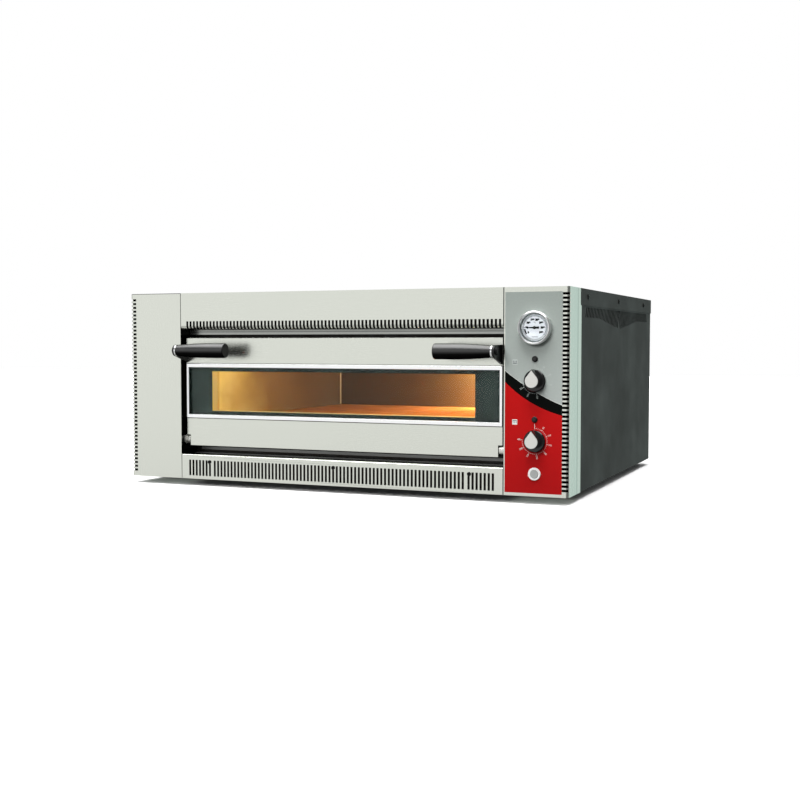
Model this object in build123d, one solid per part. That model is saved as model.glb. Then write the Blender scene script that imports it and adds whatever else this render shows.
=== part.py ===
from build123d import *
import os

# Electric deck oven with one baking chamber and a bottom-hinged door that drops down.
# Sizes are in millimetres. Sub-parts are drawn in case coordinates: X runs to the right from the
# middle of the case, Y runs back from the front sheet, Z runs up from the underside of the case.
# At export they move to the part's own frame: the origin lies under the middle of the whole part,
# on the surface that the feet stand on.

# ---------------------------------------------------------------- case
CASE_HALF_WIDTH = 493.0
CASE_DEPTH = 818.0
CASE_HEIGHT = 400.0
SHEET = 1.2
BEND_RADIUS = 6.0
SMALL_BEND = 4.0
FASCIA_BEND = 8.5
OPENING_HALF = 365.0
SIDE_RETURN = 93.0
INNER_RETURN = 60.0
ROOF_FRONT = 88.0
ROOF_FLANGE_BOTTOM = 367.0
ROOF_OVERHANG = 0.4
SIDE_FACE = CASE_HALF_WIDTH + ROOF_OVERHANG - SHEET
SEAM = 0.3
FOOT_HEIGHT = 15.0
FOOT_RADIUS = 20.0
FOOT_X = 430.0
FOOT_Y = (130.0, 760.0)

# vents in the sheet metal
SLOT_PITCH = 8.284
SLOT_WIDTH = 4.8
CORNER_SLOTS = 46
CORNER_SLOT_INSET = 14.5
SLOT_DEPTH = 7.5
FASCIA_SLOTS = 86
FASCIA_SLOT_SHIFT = 4.5
FASCIA_BOTTOM = 322.0
FASCIA_SLOT_TOP = 339.5
FASCIA_SLOT_DEPTH = 13.0
LIP_DEPTH = 38.0
LIP_BOTTOM = 311.0
GRILLE_TOP = 53.0
GRILLE_SLOT_Z = (7.0, 41.0)
GRILLE_SLOTS = 69
GRILLE_END_SLOTS = 7
GRILLE_END_START = 293.7
GRILLE_RETURN = 14.5
VENT_Y = (125.0, 770.0)
VENT_TOP = 364.0
VENT_END_Z = 344.0
VENT_TIP_Z = 325.0
VENT_PITCH = 13.0
VENT_SLOT = 6.5
REAR_VENTS = 24
REAR_VENT_PITCH = 16.0

# ---------------------------------------------------------------- baking chamber
MOUTH_Y = 62.0
FRAME_SHEET = 2.0
BULKHEAD_TOP = 396.0
CHAMBER_SHEET = 1.5
CHAMBER_HALF = 310.0
CHAMBER_BACK = 684.0
CHAMBER_Z = (70.0, 275.0)
CHAMBER_FRONT = MOUTH_Y + FRAME_SHEET
STONE_TOP = 128.0
STONE_THICKNESS = 17.0
STONE_GAP = 2.0
INSULATION_HALF = 350.0
INSULATION_BACK = 742.0
INSULATION_Z = (20.0, 318.0)
HEATER_DIAMETER = 8.5
HEATER_Y = (165.0, 375.0, 585.0)
HEATER_SPREAD = 45.0
HEATER_BEND = 38.0
UPPER_HEATER_Z = 262.0
LOWER_HEATER_Z = 88.0
HEATER_END_X = 372.0
TERMINAL_RADIUS = 8.0
TERMINAL_LENGTH = 15.0
LAMP_Y = 95.0 + FRAME_SHEET
LAMP_Z = 215.0
LAMP_RADIUS = 23.5
PROBE_Y = 270.0
PROBE_Z = (248.0, 77.0)
PROBE_DIAMETER = 6.0

# ---------------------------------------------------------------- door
DOOR_HALF = 358.2
DOOR_FRONT = 13.0
DOOR_BACK = 50.0
DOOR_BOTTOM = 71.6
DOOR_TOP = 304.0
LOWER_PANEL_TOP = 130.0
UPPER_PANEL_BOTTOM = 250.0
TRIM_FRONT = 11.5
TRIM_BACK = 15.5
TRIM_Z = (131.2, 248.8)
TRIM_OPENING_HALF = 352.5
TRIM_OPENING_Z = (139.0, 240.5)
WINDOW_HALF = 299.5
WINDOW_Z = (146.6, 232.0)
GLASS = 4.0
MASK_FRONT = 21.0
INNER_GLASS_FRONT = 44.0
GLASS_PLAY = 0.2
NOTCH_X = 349.5
NOTCH_TOP = 94.5
HINGE_Y = 22.0
HINGE_Z = 84.0
PIN_DIAMETER = 10.0
RUNNING_GAP = 0.05
BUSHING_DIAMETER = 18.0
BRACKET_RADIUS = 10.5
BRACKET_X = (360.2, 364.7)
CRANK_X = (367.5, 371.5)
CRANK_REACH = 21.0
ROLLER_RADIUS = 6.0
SPRING_X = 380.0
SPRING_RADIUS = 7.0
SPRING_WIRE = 2.0
SPRING_TOP = 160.0

# handles
HANDLE_Y = -32.0
HANDLE_Z = 277.0
GRIP_INNER = 233.5
GRIP_OUTER = 350.8
GRIP_END_RADIUS = 15.5
GRIP_ROOT_RADIUS = 11.5
GRIP_END_ROUND = 2.5
HANDLE_PLATE_X = (353.6, 358.0)
HANDLE_BOLT = 8.0

# ---------------------------------------------------------------- controls
OVERLAY = 0.4
OVERLAY_X = (367.2, 480.0)
OVERLAY_Z = (6.0, 390.4)
CONTROL_X = 426.5
GAUGE_Z = 322.3
GAUGE_RADIUS = 32.5
GAUGE_PROUD = 12.0
KNOB_Z = {"upper": 221.5, "lower": 106.3}
KNOB_SKIRT_RADIUS = 21.0
KNOB_GRIP_RADIUS = 14.2
KNOB_TIP = 22.0
KNOB_RIM = 1.5
POCKET_DEPTH = 0.7
KNOB_PROUD = 25.0
STEM_DIAMETER = 6.0
PILOT_Z = (263.0, 147.5)
PILOT_RADIUS = 5.8
BUTTON_Z = 43.3
BUTTON_RADIUS = 8.0
BUTTON_RING_RADIUS = 12.25

# supply inlet
GLAND_X = 420.0
GLAND_Z = 60.0
GLAND_BORE = 7.0
GLAND_RADIUS = 10.0
GLAND_PROUD = 22.0

SCREW_HEAD_RADIUS = 4.0
ROOF_SCREW_HEAD_RADIUS = 5.5
SCREW_HEAD = 1.8
SCREW_LENGTH = 9.0
SCREW_RADIUS = 2.0
SOCKET_RADIUS = 1.9
SOCKET_DEPTH = 1.1
GRILLE_SCREWS_X = (-294.5, 0.0, 294.5)
GRILLE_SCREW_Z = 37.5
ROOF_SCREWS_Y = (146.0, 435.0, 720.0)
ROOF_SCREW_Z = 385.0

FRONT_MOST = HANDLE_Y - GRIP_END_RADIUS
REAR_MOST = CASE_DEPTH + GLAND_PROUD
TO_PART_FRAME = Location((0, -(FRONT_MOST + REAR_MOST) / 2, FOOT_HEIGHT))


# ---------------------------------------------------------------- shared shapes
def block(x_range, y_range, z_range):
    """A box between two opposite corners."""
    sizes = [high - low for low, high in (x_range, y_range, z_range)]
    middle = [(low + high) / 2 for low, high in (x_range, y_range, z_range)]
    return Pos(*middle) * Box(*sizes)


def rod_x(x_range, y, z, radius):
    """A round rod along X."""
    middle = (x_range[0] + x_range[1]) / 2
    return Pos(middle, y, z) * Rot(0, 90, 0) * Cylinder(radius, x_range[1] - x_range[0])


def rod_y(y_range, x, z, radius):
    """A round rod along Y."""
    middle = (y_range[0] + y_range[1]) / 2
    return Pos(x, middle, z) * Rot(90, 0, 0) * Cylinder(radius, y_range[1] - y_range[0])


def rod_z(z_range, x, y, radius):
    """A round rod along Z."""
    middle = (z_range[0] + z_range[1]) / 2
    return Pos(x, y, middle) * Cylinder(radius, z_range[1] - z_range[0])


def turned_y(outline, x, z):
    """A turned piece whose axis runs along Y; the outline holds (radius, y) points."""
    face = make_face(Polyline(*[(radius, y) for radius, y in outline], close=True))
    return Pos(x, 0, z) * revolve(face, Axis.Y)


def turned_x(outline, y, z):
    """A turned piece whose axis runs along X; the outline holds (x, radius) points."""
    face = make_face(Polyline(*[(x, radius) for x, radius in outline], close=True))
    return Pos(0, y, z) * revolve(face, Axis.X)


def front_edge_x(shape, top):
    """The front edge of a box that runs along X, at its top or at its bottom."""
    edges = shape.edges().filter_by(Axis.X).group_by(Axis.Y)[0]
    return edges.sort_by(Axis.Z)[-1 if top else 0]


def front_edge_z(shape, outer):
    """The front edge of a box that runs along Z, at its high-X or at its low-X side."""
    edges = shape.edges().filter_by(Axis.Z).group_by(Axis.Y)[0]
    return edges.sort_by(Axis.X)[-1 if outer else 0]


def mirrored(shape):
    """The same shape on the other side of the case."""
    return mirror(shape, Plane.YZ)


def group(*shapes):
    """Several separate solids in one node."""
    solids = []
    for shape in shapes:
        solids.extend(shape.solids())
    return Compound(solids)


def both_sides(shape):
    """A piece and its mirror image as two separate solids."""
    return group(shape, mirrored(shape))


def row(count, pitch):
    """Evenly spaced places about zero."""
    return [(index - (count - 1) / 2) * pitch for index in range(count)]


def ring_plate(half_width, z_range, y_range, hole_half, hole_z):
    """A flat rectangular plate with a rectangular window."""
    plate = block((-half_width, half_width), y_range, z_range)
    through = (y_range[0] - 1, y_range[1] + 1)
    return plate - block((-hole_half, hole_half), through, hole_z)


# ---------------------------------------------------------------- case sheet metal
def front_corner_panel():
    """Right-hand front panel: front sheet, rounded corner, side return, inner return and flanges."""
    outer = block((OPENING_HALF, CASE_HALF_WIDTH), (0, SIDE_RETURN), (0, CASE_HEIGHT))
    outer = fillet(front_edge_z(outer, True), BEND_RADIUS)
    inner = block(
        (OPENING_HALF + SHEET, CASE_HALF_WIDTH - SHEET),
        (SHEET, SIDE_RETURN + 1),
        (SHEET, CASE_HEIGHT - SHEET),
    )
    inner = fillet(front_edge_z(inner, True), BEND_RADIUS - SHEET)
    panel = outer - inner
    behind_return = block(
        (OPENING_HALF - 1, OPENING_HALF + 2 * SHEET),
        (INNER_RETURN, SIDE_RETURN + 1),
        (-1, CASE_HEIGHT + 1),
    )
    under_roof = block(
        (OPENING_HALF - 1, CASE_HALF_WIDTH + 1),
        (ROOF_FRONT - SEAM, SIDE_RETURN + 1),
        (ROOF_FLANGE_BOTTOM - SEAM, CASE_HEIGHT + 1),
    )
    pin_hole = rod_x((OPENING_HALF - 1, OPENING_HALF + 2 * SHEET), HINGE_Y, HINGE_Z, PIN_DIAMETER / 2 + 2)
    slots = [
        block(
            (CASE_HALF_WIDTH - CORNER_SLOT_INSET, CASE_HALF_WIDTH + 1),
            (-1, SLOT_DEPTH),
            (CASE_HEIGHT / 2 + z - SLOT_WIDTH / 2, CASE_HEIGHT / 2 + z + SLOT_WIDTH / 2),
        )
        for z in row(CORNER_SLOTS, SLOT_PITCH)
    ]
    return panel - [behind_return, under_roof, pin_hole] - slots


def control_holes(clearance):
    """Cutters for everything that passes through the control panel and its overlay."""
    depth = (-2, 4)
    places = [(GAUGE_Z, 26.0 + clearance), (BUTTON_Z, 10.0 + clearance)]
    places += [(z, 5.0 + clearance) for z in KNOB_Z.values()]
    places += [(z, 4.5 + clearance) for z in PILOT_Z]
    return [rod_y(depth, CONTROL_X, z, radius) for z, radius in places]


def control_panel():
    return front_corner_panel() - control_holes(0.2)


def control_overlay():
    """Thin printed sheet on the front of the control panel."""
    return block(OVERLAY_X, (-OVERLAY, 0), OVERLAY_Z) - control_holes(0.2)


def top_fascia():
    """Front sheet above the door, with a slotted lower bend and a drip lip behind it."""
    half = OPENING_HALF - SEAM
    outer = block((-half, half), (0, ROOF_FRONT - SEAM), (FASCIA_BOTTOM, CASE_HEIGHT))
    outer = fillet(front_edge_x(outer, False), FASCIA_BEND)
    inner = block(
        (-half - 1, half + 1),
        (SHEET, ROOF_FRONT + 1),
        (FASCIA_BOTTOM + SHEET, CASE_HEIGHT - SHEET),
    )
    inner = fillet(front_edge_x(inner, False), FASCIA_BEND - SHEET)
    behind_lip = block(
        (-half - 1, half + 1),
        (LIP_DEPTH, ROOF_FRONT + 1),
        (FASCIA_BOTTOM - 1, FASCIA_BOTTOM + 2 * SHEET),
    )
    lip = block((-half, half), (LIP_DEPTH - SHEET, LIP_DEPTH), (LIP_BOTTOM, FASCIA_BOTTOM + SHEET))
    slot_x = (-SLOT_WIDTH / 2, SLOT_WIDTH / 2)
    slot = block(slot_x, (-1, FASCIA_SLOT_DEPTH), (FASCIA_BOTTOM - 1, FASCIA_SLOT_TOP))
    slots = [Pos(x + FASCIA_SLOT_SHIFT, 0, 0) * slot for x in row(FASCIA_SLOTS, SLOT_PITCH)]
    return outer - inner - behind_lip + lip - slots


def grille_slot_places():
    """Slot centres of the lower grille: a long middle row and a short row at each end."""
    ends = [GRILLE_END_START + index * SLOT_PITCH for index in range(GRILLE_END_SLOTS)]
    return row(GRILLE_SLOTS, SLOT_PITCH) + ends + [-x for x in ends]


def lower_grille():
    """Slotted cover under the door."""
    half = OPENING_HALF - SEAM
    outer = block((-half, half), (0, MOUTH_Y), (0, GRILLE_TOP))
    outer = fillet(front_edge_x(outer, True), SMALL_BEND)
    inner = block((-half - 1, half + 1), (SHEET, MOUTH_Y + 1), (SHEET, GRILLE_TOP - SHEET))
    inner = fillet(front_edge_x(inner, True), SMALL_BEND - SHEET)
    open_bottom = block((-half - 1, half + 1), (GRILLE_RETURN, MOUTH_Y + 1), (-1, 2 * SHEET))
    slots = []
    for x in grille_slot_places():
        under_screw = min(abs(x - screw_x) for screw_x in GRILLE_SCREWS_X) < SCREW_HEAD_RADIUS
        top = GRILLE_SCREW_Z - SCREW_HEAD_RADIUS if under_screw else GRILLE_SLOT_Z[1]
        slots.append(block((x - SLOT_WIDTH / 2, x + SLOT_WIDTH / 2), (-1, 3), (GRILLE_SLOT_Z[0], top)))
    holes = [rod_y((-1, 3), x, GRILLE_SCREW_Z, SCREW_RADIUS + 0.1) for x in GRILLE_SCREWS_X]
    return outer - inner - open_bottom - slots - holes


def base_pan():
    """Floor of the case with upturned sides."""
    front_half = OPENING_HALF - SEAM
    front = block((-front_half, front_half), (GRILLE_RETURN + SEAM, INNER_RETURN + 2), (SHEET, 2 * SHEET))
    half = SIDE_FACE - SHEET
    rear = CASE_DEPTH - 2 * SHEET
    tray = block((-half, half), (INNER_RETURN + 2, rear), (SHEET, 26))
    hollow = block((-half + SHEET, half - SHEET), (INNER_RETURN, rear - SHEET), (2 * SHEET, 27))
    return front + (tray - hollow)


def feet():
    """Four low rubber feet."""
    places = [(x, y) for x in (-FOOT_X, FOOT_X) for y in FOOT_Y]
    blanks = [rod_z((-FOOT_HEIGHT, SHEET), x, y, FOOT_RADIUS) for x, y in places]
    return group(*[chamfer(foot.edges().group_by(Axis.Z)[0], 2) for foot in blanks])


def vent_bottom(y):
    """Lower limit of the side vents: level at both ends, falling to a tip in the middle."""
    middle = (VENT_Y[0] + VENT_Y[1]) / 2
    reach = (VENT_Y[1] - VENT_Y[0]) * 0.3
    share = max(0.0, 1 - abs(y - middle) / reach)
    return VENT_END_Z - (VENT_END_Z - VENT_TIP_Z) * share


def side_vents(x_range):
    """Slanting slots that lean towards the middle of the side panel."""
    count = int((VENT_Y[1] - VENT_Y[0]) / VENT_PITCH)
    middle = (VENT_Y[0] + VENT_Y[1]) / 2
    slots = []
    for y_off in row(count, VENT_PITCH):
        bottom = vent_bottom(middle + y_off)
        height = VENT_TOP - bottom
        lean = height * (0.5 if y_off < 0 else -0.5)
        low = middle + y_off - lean / 2
        high = middle + y_off + lean / 2
        outline = Polyline(
            (low - VENT_SLOT / 2, bottom),
            (low + VENT_SLOT / 2, bottom),
            (high + VENT_SLOT / 2, VENT_TOP),
            (high - VENT_SLOT / 2, VENT_TOP),
            close=True,
        )
        face = Plane.YZ * make_face(outline)
        slots.append(Pos(x_range[0], 0, 0) * extrude(face, amount=x_range[1] - x_range[0]))
    return slots


def right_side_panel():
    """Painted side sheet with folded edges and a band of slanting vents."""
    inside = SIDE_FACE - SHEET
    front = SIDE_RETURN + SEAM
    rear = CASE_DEPTH - SHEET
    top = CASE_HEIGHT - 2 * SHEET
    sheet = block((inside, SIDE_FACE), (front, rear), (0, top))
    rear_fold = block((inside - 18, inside), (rear - SHEET, rear), (0, top))
    front_fold = block((inside - 12, inside), (front, front + SHEET), (30, top))
    through = (inside - 1, SIDE_FACE + 1)
    holes = [rod_x(through, y, ROOF_SCREW_Z, SCREW_RADIUS + 0.1) for y in ROOF_SCREWS_Y]
    return (sheet + rear_fold + front_fold) - side_vents(through) - holes


def roof_cover():
    """Top sheet with flanges that lap over the side panels and the rear panel."""
    half = CASE_HALF_WIDTH + ROOF_OVERHANG
    outer = block((-half, half), (ROOF_FRONT, CASE_DEPTH + SHEET), (ROOF_FLANGE_BOTTOM, CASE_HEIGHT))
    inner = block(
        (-half + SHEET, half - SHEET),
        (ROOF_FRONT - 1, CASE_DEPTH),
        (ROOF_FLANGE_BOTTOM - 1, CASE_HEIGHT - SHEET),
    )
    holes = []
    for y in ROOF_SCREWS_Y:
        holes.append(rod_x((-half - 1, -half + 4), y, ROOF_SCREW_Z, SCREW_RADIUS + 0.1))
        holes.append(rod_x((half - 4, half + 1), y, ROOF_SCREW_Z, SCREW_RADIUS + 0.1))
    return outer - inner - holes


def rear_panel():
    """Back sheet with a row of vents and the supply inlet."""
    half = CASE_HALF_WIDTH - 3 * SHEET
    sheet = block((-half, half), (CASE_DEPTH - SHEET, CASE_DEPTH), (0, CASE_HEIGHT - 2 * SHEET))
    through = (CASE_DEPTH - 3, CASE_DEPTH + 1)
    vents = []
    for z in (80.0, 300.0):
        for x in row(REAR_VENTS, REAR_VENT_PITCH):
            vents.append(block((x - 2.5, x + 2.5), through, (z, z + 34)))
    inlet = rod_y(through, GLAND_X, GLAND_Z, GLAND_RADIUS + 0.1)
    return sheet - vents - inlet


def screw_y(x, y, z):
    """A screw driven towards +Y, its head resting on the sheet at y, with a hexagon socket."""
    head = chamfer(rod_y((y - SCREW_HEAD, y), x, z, SCREW_HEAD_RADIUS).edges().group_by(Axis.Y)[0], 0.6)
    hexagon = extrude(RegularPolygon(SOCKET_RADIUS, 6), amount=3)
    socket = Pos(x, y - SCREW_HEAD + SOCKET_DEPTH, z) * Rot(90, 0, 0) * hexagon
    return head + rod_y((y - 0.5, y + SCREW_LENGTH), x, z, SCREW_RADIUS) - socket


def screw_x(x, y, z):
    """A screw driven towards -X, its head resting on the sheet at x, with a hexagon socket."""
    head = rod_x((x, x + SCREW_HEAD), y, z, ROOF_SCREW_HEAD_RADIUS)
    head = chamfer(head.edges().group_by(Axis.X)[-1], 0.6)
    hexagon = extrude(RegularPolygon(SOCKET_RADIUS, 6), amount=3)
    socket = Pos(x + SCREW_HEAD - SOCKET_DEPTH, y, z) * Rot(0, 90, 0) * hexagon
    return head + rod_x((x - SCREW_LENGTH, x + 0.5), y, z, SCREW_RADIUS) - socket


def case_screws():
    """Black screws of the grille and of the roof flanges."""
    grille = [screw_y(x, 0, GRILLE_SCREW_Z) for x in GRILLE_SCREWS_X]
    right = [screw_x(CASE_HALF_WIDTH + ROOF_OVERHANG, y, ROOF_SCREW_Z) for y in ROOF_SCREWS_Y]
    left = [mirrored(screw) for screw in right]
    return group(*grille, *right, *left)


def cable_gland():
    """Supply inlet: flanged barrel through the rear panel with an outer cap and an inner nut."""
    barrel = rod_y((CASE_DEPTH - 12, CASE_DEPTH + GLAND_PROUD), GLAND_X, GLAND_Z, GLAND_RADIUS)
    hexagon = extrude(RegularPolygon(15, 6), amount=7)
    flange = Pos(GLAND_X, CASE_DEPTH + 7, GLAND_Z) * Rot(90, 0, 0) * hexagon
    nut = Pos(GLAND_X, CASE_DEPTH - SHEET, GLAND_Z) * Rot(90, 0, 0) * extrude(RegularPolygon(14, 6), amount=5)
    cap = rod_y((CASE_DEPTH + 10, CASE_DEPTH + GLAND_PROUD), GLAND_X, GLAND_Z, 13.0)
    cap = fillet(cap.edges().group_by(Axis.Y)[-1], 2.5)
    bore = rod_y((CASE_DEPTH - 13, CASE_DEPTH + GLAND_PROUD + 1), GLAND_X, GLAND_Z, GLAND_BORE)
    return barrel + flange + nut + cap - bore


# ---------------------------------------------------------------- baking chamber
def mouth_frame():
    """Front bulkhead of the hot box, with the mouth of the chamber."""
    half = OPENING_HALF - SEAM
    mouth_z = (STONE_TOP - 1, CHAMBER_Z[1])
    return ring_plate(half, (2 * SHEET, BULKHEAD_TOP), (MOUTH_Y, CHAMBER_FRONT), CHAMBER_HALF, mouth_z)


def door_seal():
    """Heat-proof rope round the mouth, just clear of the closed door."""
    depth = (DOOR_BACK + SHEET + 0.5, MOUTH_Y)
    seal = ring_plate(332, (106, 292), depth, 322, (116, 282))
    corners = seal.edges().filter_by(Axis.Y)
    return fillet(corners, 4)


def heater_cutters(radius, x_range):
    """Rods along X where the heater legs and the probes pass through the right-hand wall."""
    legs = []
    for z in (UPPER_HEATER_Z, LOWER_HEATER_Z):
        for middle in HEATER_Y:
            for y in (middle - HEATER_SPREAD, middle + HEATER_SPREAD):
                legs.append(rod_x(x_range, y, z, radius))
    probes = [rod_x(x_range, PROBE_Y, z, radius - HEATER_DIAMETER / 2 + PROBE_DIAMETER / 2) for z in PROBE_Z]
    return legs + probes


def chamber_shell():
    """Liner of five butted plates: floor, ceiling, two sides and back."""
    outer_half = CHAMBER_HALF + CHAMBER_SHEET
    length = (CHAMBER_FRONT, CHAMBER_BACK)
    floor = block((-outer_half, outer_half), length, (CHAMBER_Z[0] - CHAMBER_SHEET, CHAMBER_Z[0]))
    ceiling = block((-outer_half, outer_half), length, (CHAMBER_Z[1], CHAMBER_Z[1] + CHAMBER_SHEET))
    back = block(
        (-outer_half, outer_half),
        (CHAMBER_BACK, CHAMBER_BACK + CHAMBER_SHEET),
        (CHAMBER_Z[0] - CHAMBER_SHEET, CHAMBER_Z[1] + CHAMBER_SHEET),
    )
    side = block((CHAMBER_HALF, outer_half), length, CHAMBER_Z)
    through = (CHAMBER_HALF - 1, outer_half + 1)
    lamp_hole = rod_x(through, LAMP_Y + LAMP_RADIUS, LAMP_Z, LAMP_RADIUS)
    right = side - heater_cutters(HEATER_DIAMETER / 2 + 0.1, through) - lamp_hole
    return group(floor, ceiling, back, right, mirrored(side))


def hearth_stones():
    """Four refractory tiles with a narrow gap between them."""
    z_range = (STONE_TOP - STONE_THICKNESS, STONE_TOP)
    x_edge = CHAMBER_HALF - 1
    y_front = CHAMBER_FRONT + 1
    y_back = CHAMBER_BACK - 1
    y_middle = (y_front + y_back) / 2
    tiles = []
    for x_range in ((-x_edge, -STONE_GAP / 2), (STONE_GAP / 2, x_edge)):
        for y_range in ((y_front, y_middle - STONE_GAP / 2), (y_middle + STONE_GAP / 2, y_back)):
            tile = block(x_range, y_range, z_range)
            tiles.append(chamfer(tile.edges().group_by(Axis.Z)[-1], 1.5))
    return group(*tiles)


def stone_rails():
    """Angles on the side walls and a channel down the middle that carry the tiles."""
    top = STONE_TOP - STONE_THICKNESS
    bottom = top - 14
    length = (CHAMBER_FRONT, CHAMBER_BACK)
    ledge = block((CHAMBER_HALF - 22, CHAMBER_HALF), length, (top - SHEET, top))
    web = block((CHAMBER_HALF - SHEET, CHAMBER_HALF), length, (bottom, top))
    channel = block((-15, 15), length, (bottom, top))
    channel -= block((-15 + SHEET, 15 - SHEET), (length[0] - 1, length[1] + 1), (bottom - 1, top - SHEET))
    angle = ledge + web
    return group(angle, mirrored(angle), channel)


def heaters(z):
    """Hairpin elements that enter through the right-hand wall."""
    rods = []
    for middle in HEATER_Y:
        near = middle - HEATER_SPREAD
        far = middle + HEATER_SPREAD
        left = -CHAMBER_HALF + 25
        corners = [(HEATER_END_X, near, z), (left, near, z), (left, far, z), (HEATER_END_X, far, z)]
        path = FilletPolyline(*corners, radius=HEATER_BEND)
        section = Plane(origin=path @ 0, z_dir=path % 0) * Circle(HEATER_DIAMETER / 2)
        rods.append(sweep(section, path=path))
    return group(*rods)


def heater_terminals():
    """Ceramic beads round the heater ends, against the service partition."""
    start = INSULATION_HALF + SHEET
    beads = []
    for z in (UPPER_HEATER_Z, LOWER_HEATER_Z):
        for middle in HEATER_Y:
            for y in (middle - HEATER_SPREAD, middle + HEATER_SPREAD):
                bead = rod_x((start, start + TERMINAL_LENGTH), y, z, TERMINAL_RADIUS)
                bead = chamfer(bead.edges().group_by(Axis.X)[-1], 1.5)
                beads.append(bead - rod_x((start - 1, start + 20), y, z, HEATER_DIAMETER / 2 + 0.1))
    return group(*beads)


def insulation_slab(x_range, z_range, y_range=(CHAMBER_FRONT, INSULATION_BACK)):
    """One mineral wool slab."""
    return block(x_range, y_range, z_range)


def insulation_top():
    z_range = (CHAMBER_Z[1] + CHAMBER_SHEET, INSULATION_Z[1])
    return insulation_slab((-INSULATION_HALF, INSULATION_HALF), z_range)


def insulation_bottom():
    z_range = (INSULATION_Z[0], CHAMBER_Z[0] - CHAMBER_SHEET)
    return insulation_slab((-INSULATION_HALF, INSULATION_HALF), z_range)


def insulation_side(right):
    z_range = (CHAMBER_Z[0] - CHAMBER_SHEET, CHAMBER_Z[1] + CHAMBER_SHEET)
    x_range = (CHAMBER_HALF + CHAMBER_SHEET, INSULATION_HALF)
    slab = insulation_slab(x_range, z_range)
    if not right:
        return mirrored(slab)
    through = (x_range[0] - 1, x_range[1] + 1)
    lamp_space = rod_x(through, LAMP_Y + LAMP_RADIUS, LAMP_Z, LAMP_RADIUS + 2.5)
    return slab - heater_cutters(HEATER_DIAMETER / 2 + 0.5, through) - lamp_space


def insulation_rear():
    z_range = (CHAMBER_Z[0] - CHAMBER_SHEET, CHAMBER_Z[1] + CHAMBER_SHEET)
    half = CHAMBER_HALF + CHAMBER_SHEET
    return insulation_slab((-half, half), z_range, (CHAMBER_BACK + CHAMBER_SHEET, INSULATION_BACK))


def service_partition():
    """Upright sheet between the hot box and the controls."""
    x_range = (INSULATION_HALF, INSULATION_HALF + SHEET)
    sheet = block(x_range, (CHAMBER_FRONT, INSULATION_BACK), (2 * SHEET, BULKHEAD_TOP))
    return sheet - heater_cutters(HEATER_DIAMETER / 2 + 0.5, (x_range[0] - 1, x_range[1] + 1))


def lamp_housing():
    """Cup in the right-hand wall that holds the chamber lamp."""
    start = CHAMBER_HALF + CHAMBER_SHEET
    y = LAMP_Y + LAMP_RADIUS
    cup = rod_x((start, INSULATION_HALF), y, LAMP_Z, LAMP_RADIUS + 1.5)
    return cup - rod_x((start - 1, INSULATION_HALF - 1.5), y, LAMP_Z, LAMP_RADIUS)


def lamp_bulb():
    """Small oven bulb with its cap."""
    end = INSULATION_HALF - 1.5
    cap = [(end, 0), (end, 7), (end - 9, 7)]
    envelope = [(end - 11, 8.5), (end - 22, 8.5), (end - 27, 5), (end - 28, 0)]
    outline = cap + envelope
    return turned_x(outline, LAMP_Y + LAMP_RADIUS, LAMP_Z)


def lamp_lens():
    """Glass disc over the lamp."""
    disc = rod_x((CHAMBER_HALF - GLASS, CHAMBER_HALF), LAMP_Y + LAMP_RADIUS, LAMP_Z, LAMP_RADIUS + 4)
    return fillet(disc.edges().group_by(Axis.X)[0], 1.5)


def sensor_probes():
    """Round probes of the two thermostats, above and below the stones."""
    return group(*[rod_x((230, HEATER_END_X), PROBE_Y, z, PROBE_DIAMETER / 2) for z in PROBE_Z])


# ---------------------------------------------------------------- door
def notches(x_from, z_to, y_range):
    """Cutters for the two lower corners, where the hinges sit."""
    cut = block((x_from, DOOR_HALF + 1), y_range, (DOOR_BOTTOM - 1, z_to))
    return [cut, mirrored(cut)]


def door_upper_panel():
    """Folded tray above the window, open at the back."""
    y_range = (DOOR_FRONT, DOOR_BACK)
    outer = block((-DOOR_HALF, DOOR_HALF), y_range, (UPPER_PANEL_BOTTOM, DOOR_TOP))
    outer = fillet(front_edge_x(outer, True), 1.5)
    inner = block(
        (-DOOR_HALF + SHEET, DOOR_HALF - SHEET),
        (DOOR_FRONT + SHEET, DOOR_BACK + 1),
        (UPPER_PANEL_BOTTOM + SHEET, DOOR_TOP - SHEET),
    )
    return outer - inner


def door_lower_panel():
    """Folded tray below the window, with a notch at each hinge."""
    outer = block((-DOOR_HALF, DOOR_HALF), (DOOR_FRONT, DOOR_BACK), (DOOR_BOTTOM, LOWER_PANEL_TOP))
    outer -= notches(NOTCH_X, NOTCH_TOP, (DOOR_FRONT - 1, DOOR_BACK + 1))
    inner = block(
        (-DOOR_HALF + SHEET, DOOR_HALF - SHEET),
        (DOOR_FRONT + SHEET, DOOR_BACK + 1),
        (DOOR_BOTTOM + SHEET, LOWER_PANEL_TOP - SHEET),
    )
    inner -= notches(NOTCH_X - SHEET, NOTCH_TOP + SHEET, (DOOR_FRONT - 1, DOOR_BACK + 2))
    pin_hole = rod_x((NOTCH_X - 3, NOTCH_X + 1), HINGE_Y, HINGE_Z, PIN_DIAMETER / 2 + 0.2)
    return outer - inner - [pin_hole, mirrored(pin_hole)]


def window_trim():
    """Bright frame that holds the outer glass."""
    ring = ring_plate(DOOR_HALF, TRIM_Z, (TRIM_FRONT, TRIM_BACK), TRIM_OPENING_HALF, TRIM_OPENING_Z)
    return fillet(ring.edges().group_by(Axis.Y)[0], 0.8)


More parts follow.
